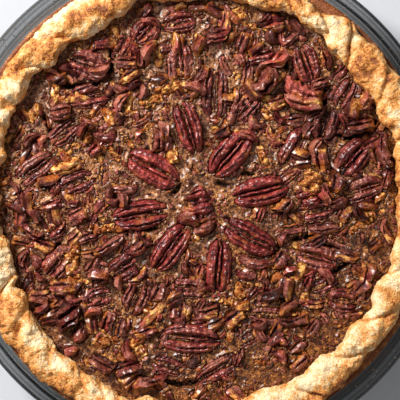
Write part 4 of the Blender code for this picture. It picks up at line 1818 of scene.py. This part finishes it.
        near = tree.node("GeometryNodeProximity", {0: nuts}, target_element="FACES").outputs["Distance"]
        hug = tree.node("ShaderNodeMapRange", {"Value": near, 1: given["Reach"], 2: 0.0}).outputs[0]
        large = pits("Pits per Metre", 0.42, 0.55)
        small = pits("Fine Pits per Metre", 0.45, 0.35)
        rise = tree.times(noise("Lumps per Metre"), given["Lump Height"])
        rise = tree.plus(rise, tree.times(noise("Ripples per Metre"), given["Ripple Height"]))
        rise = tree.line(tree.math("POWER", hug, 1.6), given["Climb"], rise)
        fall = tree.times(large, given["Pit Depth"])
        fall = tree.line(small, given["Fine Pit Depth"], fall)
        rise = tree.math("SUBTRACT", rise, fall)
        rise = tree.math("SUBTRACT", rise, tree.times(tree.covered(nuts), given["Hollow"]))
        rise = tree.times(rise, tree.read("open_top"))
        # The cracks and pits are stored in the depth attribute, which the finish paints dark as shade.
        shade = tree.math("MAXIMUM", tree.read("depth"), tree.times(large, 0.75))
        shade = tree.math("MAXIMUM", shade, tree.times(small, 0.45))
        stored = tree.store(given["Geometry"], "depth", shade)
        inputs = {"Geometry": stored, "Offset": tree.vector(Z=rise)}
        return tree.finished(tree.node("GeometryNodeSetPosition", inputs).outputs[0])

    def build(
        self, seed: Object, material: Material, nuts: Object
    ) -> Object:
        """Makes the finished filling.

        Args:
            seed: The filling before its pits. It is removed.
            material: Its finish.
            nuts: Every large nut, which the custard climbs.

        Returns:
            The filling.
        """
        return grown(seed, self.pitting_tree(), {"Nuts": nuts, "Material": material}, "custard_filling")


# ---------------------------------------------------------------- small bits and crumbs


def shard(seed: int, flesh: float, tone: float = 0.5) -> Solid:
    """An angular crumb about a unit long, the hull of a dozen points.

    Args:
        seed: Picks its shape.
        flesh: 1 for bare nut flesh, 0 for skin.
        tone: Its shade, 0 to 1.

    Returns:
        The crumb.
    """
    rng = random.Random(seed)
    work = bmesh.new()
    for _ in range(13):
        point = Vector([rng.gauss(0, 1) for _ in range(3)]).normalized() * rng.uniform(0.75, 1.1)
        work.verts.new((0.5 * point.x, 0.31 * point.y, 0.24 * point.z))
    bmesh.ops.convex_hull(work, input=list(work.verts))
    loose = [vert for vert in work.verts if not vert.link_faces]
    bmesh.ops.delete(work, geom=loose, context="VERTS")
    work.verts.index_update()
    points = np.array([tuple(vert.co) for vert in work.verts])
    faces = [tuple(vert.index for vert in face.verts) for face in work.faces]
    work.free()
    values = {"flesh": flesh, "groove": 0.0, "tone": tone, "bake": tone, "toast": 1.0}
    return Solid(points, faces, {name: np.full(len(points), value) for name, value in values.items()})


def gathered(name: str, pieces: list[Object]) -> Object:
    """A copy of several pieces as one object, for other pieces to be fitted round.

    Args:
        name: The copy's name.
        pieces: The pieces.

    Returns:
        The copy.
    """
    work = bmesh.new()
    for piece in pieces:
        work.from_mesh(piece.data)
    mesh = bpy.data.meshes.new(name)
    work.to_mesh(mesh)
    work.free()
    return added(name, mesh)


@dataclass
class Scatter:
    """Loose pieces of a few shapes spread over a surface by Geometry Nodes, each kind as one piece."""

    name: str
    shapes: list[Solid]
    density: float
    smallest: float
    largest: float
    seed: int
    spacing: float = 0.0
    lift: float = 0.0
    tilt: float = 0.5
    luck: float = 0.0
    faceted: bool = True
    where: str = "open_top"

    def tree(self) -> Tree:
        """The Geometry Nodes tree that spreads the shapes over a surface, clear of the large nuts.

        Returns:
            The tree.
        """
        tree = Growth(self.name, {
            "Density": self.density, "Spacing": self.spacing, "Smallest": self.smallest,
            "Largest": self.largest, "Lift": self.lift, "Tilt": self.tilt, "Luck": self.luck,
            "Seed": self.seed, "Shapes": "Collection", "Nuts": "Object",
        })
        given = tree.given
        free = tree.math("SUBTRACT", 1.0, tree.covered(tree.nuts()))
        inputs = {
            "Mesh": given["Geometry"],
            "Distance Min": given["Spacing"],
            "Density Max": given["Density"],
            "Density Factor": tree.times(tree.read(self.where), free),
            "Seed": given["Seed"],
        }
        spread = tree.node("GeometryNodeDistributePointsOnFaces", inputs, distribute_method="POISSON")
        inputs = {"Collection": given["Shapes"], "Separate Children": True, "Reset Children": True}
        shapes = tree.node("GeometryNodeCollectionInfo", inputs)
        tilt, other = given["Tilt"], tree.times(given["Tilt"], -1.0)
        low, high = tree.vector(X=other, Y=tilt, Z=-3.1), tree.vector(X=tilt, Y=other, Z=3.1)
        inputs = {0: low, 1: high, "Seed": given["Seed"]}
        turn = tree.node("FunctionNodeRandomValue", inputs, data_type="FLOAT_VECTOR")
        inputs = {
            "Points": spread.outputs[0],
            "Instance": shapes.outputs[0],
            "Pick Instance": True,
            "Rotation": turn.outputs[0],
            "Scale": tree.chance(given["Smallest"], given["Largest"], 5),
        }
        laid = tree.node("GeometryNodeInstanceOnPoints", inputs).outputs[0]
        chance = tree.chance(tree.times(given["Luck"], -1.0), given["Luck"], 9)
        inputs = {
            "Instances": tree.store(laid, "luck", chance, "INSTANCE"),
            "Translation": tree.vector(Z=given["Lift"]),
            "Local Space": False,
        }
        return tree.finished(tree.node("GeometryNodeTranslateInstances", inputs).outputs[0])

    def build(
        self, bed: Object, material: Material, nuts: Object | None = None
    ) -> Object:
        """Spreads the pieces.

        Args:
            bed: The surface that they lie on, with an attribute that says where.
            material: Their finish.
            nuts: What they keep clear of, if anything.

        Returns:
            All the pieces as one.
        """
        shelf = bpy.data.collections.new(f"{self.name} shapes")
        bpy.context.scene.collection.children.link(shelf)
        for number, solid in enumerate(self.shapes):
            shape = solid.piece(f"shape {number:02d}", material)
            bpy.context.scene.collection.objects.unlink(shape)
            shelf.objects.link(shape)
        inputs = {"Shapes": shelf, "Material": material} | ({"Nuts": nuts} if nuts else {})
        laid = grown(added("bed", bed.data.copy()), self.tree(), inputs, self.name)
        for shape in list(shelf.objects):
            bpy.data.objects.remove(shape)
        bpy.data.collections.remove(shelf)
        if self.faceted:
            laid.data.shade_flat()
        else:
            laid.data.set_sharp_from_angle(angle=math.radians(38))
        return laid


# ---------------------------------------------------------------- the studio


@dataclass
class Studio:
    """A pale floor, soft window light from the upper left, and a camera looking straight down."""

    camera_place: tuple[float, float, float] = (0.0012, 0.0004, 0.785)
    lens: float = 142.2
    floor_half: float = 3.0
    floor_colour: Colour = (0.54, 0.56, 0.60)
    floor_roughness: float = 0.7
    room_colour: Colour = (0.86, 0.86, 0.88)
    room_light: float = 0.17

    def build(self) -> None:
        """Makes the floor, the lights, the world and the camera."""
        scene = bpy.context.scene
        self.floor()
        self.lamp("window", (-0.64, 0.60, 0.72), 0.36, 24.5, (1.0, 0.98, 0.95))
        self.lamp("fill", (0.8, -0.5, 0.9), 1.2, 3.0, (1.0, 0.97, 0.93))
        world = bpy.data.worlds.new("room")
        world.use_nodes = True
        background = world.node_tree.nodes["Background"]
        background.inputs["Color"].default_value = (*self.room_colour, 1)
        background.inputs["Strength"].default_value = self.room_light
        scene.world = world
        camera = added("camera", bpy.data.cameras.new("camera"))
        camera.data.lens = self.lens
        camera.location = self.camera_place
        scene.camera = camera
        scene.view_settings.view_transform = "Standard"

    def floor(self) -> Object:
        """Makes the floor.

        Returns:
            The floor.
        """
        finish = bpy.data.materials.new("floor")
        finish.use_nodes = True
        shader = finish.node_tree.nodes["Principled BSDF"]
        shader.inputs["Base Color"].default_value = (*self.floor_colour, 1)
        shader.inputs["Roughness"].default_value = self.floor_roughness
        mesh = bpy.data.meshes.new("floor")
        far = self.floor_half
        corners = [(-far, -far, 0), (far, -far, 0), (far, far, 0), (-far, far, 0)]
        mesh.from_pydata(corners, [], [(0, 1, 2, 3)])
        mesh.materials.append(finish)
        return added("floor", mesh)

    def lamp(self, name: str, place: tuple, size: float, power: float, colour: Colour) -> None:
        """Adds a square area light that points at the pie.

        Args:
            name: Its name.
            place: Where it stands, in metres.
            size: The length of its side, in metres.
            power: Its power in watts.
            colour: Its colour.
        """
        data = bpy.data.lights.new(name, "AREA")
        data.size = size
        data.energy = power
        data.color = colour
        light = added(name, data)
        light.location = place
        light.rotation_euler = Vector(place).to_track_quat("Z", "Y").to_euler()


# ---------------------------------------------------------------- the whole pie


def hand_over(piece: Object, slot: str, *nodes: str) -> None:
    """Makes a piece part of the pie.

    Args:
        piece: The piece.
        slot: The record's material slot for its finish; it is not used.
        nodes: The CAD nodes it stands for, if any.
    """
    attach(piece, BODY)
    if nodes:
        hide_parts(*nodes)
    log.info("%s: %d faces", piece.name, len(piece.data.polygons))


def rim_bed(
    plate: GlassPlate, spots: tuple[float, ...] = (140, 25, 322), steps: int = 180
) -> Object:
    """The ring of the plate's flange on which crumbs lie.

    Args:
        plate: The plate.
        spots: The angles round which most of them lie.
        steps: How many faces make the ring.

    Returns:
        The ring, with a share of the crumbs at each point.
    """
    points, faces, share = [], [], []
    for step in range(steps):
        angle = step * 360 / steps
        turn = math.radians(angle)
        for radius in (plate.mouth + 1.5 * MM, plate.radius - 1.5 * MM):
            points.append((radius * math.cos(turn), radius * math.sin(turn), plate.height - 0.5 * MM))
            gaps = [abs(turn_between(angle, spot)) for spot in spots]
            share.append(0.12 + math.exp(-((min(gaps) / 16) ** 2)))
        after = (step + 1) % steps
        faces.append((2 * step, 2 * step + 1, 2 * after + 1, 2 * after))
    mesh = bpy.data.meshes.new("rim bed")
    mesh.from_pydata(points, [], faces)
    layer = mesh.attributes.new("open_top", "FLOAT", "POINT")
    layer.data.foreach_set("value", share)
    return added("rim bed", mesh)


def main() -> None:
    """Builds the pie around the CAD model, and the studio around the pie."""
    logging.basicConfig(level=logging.INFO, format="%(message)s")
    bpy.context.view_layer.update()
    effects = EffectLibrary()
    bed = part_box("filling")[1][2]
    pecan = PecanFinish(bed=bed).material(effects)
    pastry = PastryFinish().material(effects)
    low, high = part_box("dish")
    plate = GlassPlate(radius=(high[0] - low[0]) / 2, height=high[2])
    hand_over(plate.build(GlassFinish().material(effects)), "glass", "dish")
    crust = PastryCrust(top=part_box("crust")[1][2], lining=plate)
    hand_over(crust.build(pastry), "pastry", "crust")
    pecans = Pecans(bed=bed)
    custard = Custard(bed=bed)
    caramel = CustardFinish().material(effects)
    surface = custard.solid().piece("custard seed", caramel)
    halves, chopped = pecans.build(pecan)
    for node, piece in halves.items():
        hand_over(piece, "pecan", node)
    hand_over(chopped, "pecan")
    large = gathered("large nuts", [*halves.values(), chopped])
    broken = Scatter(
        "broken_pecans", pecans.fragments(), density=60000.0, spacing=2.9 * MM, smallest=0.35, largest=1.1,
        seed=7, lift=-1.5 * MM, tilt=0.35, luck=0.75, faceted=False, where="crowded",
    ).build(surface, pecan, large)
    hand_over(broken, "pecan")
    crowd = gathered("all nuts", [large, broken])
    filling = custard.build(surface, caramel, crowd)
    hand_over(filling, "custard", "filling")
    bits = Scatter(
        "pecan_bits", [shard(seed, 0.0) for seed in range(6)], density=60000.0, spacing=0.8 * MM,
        smallest=1.2 * MM, largest=3.8 * MM, seed=4, lift=0.3 * MM, luck=0.45,
    )
    hand_over(bits.build(filling, pecan, crowd), "pecan")
    flesh = Scatter(
        "flesh_bits", [shard(20 + seed, 1.0, 0.7) for seed in range(4)], density=9500.0, spacing=1.5 * MM,
        smallest=1.0 * MM, largest=3.2 * MM, seed=9, lift=0.4 * MM, luck=0.4,
    )
    hand_over(flesh.build(filling, pecan, crowd), "pecan")
    ledge = rim_bed(plate)
    crumbs = Scatter(
        "rim_crumbs", [shard(40 + seed, 0.0, 0.1) for seed in range(4)], density=90000.0, spacing=0.6 * MM,
        smallest=0.5 * MM, largest=1.5 * MM, seed=2,
    )
    hand_over(crumbs.build(ledge, pastry), "pastry")
    for helper in (ledge, large, crowd):
        bpy.data.objects.remove(helper)
    Studio().build()


if __name__ == "__main__":
    main()
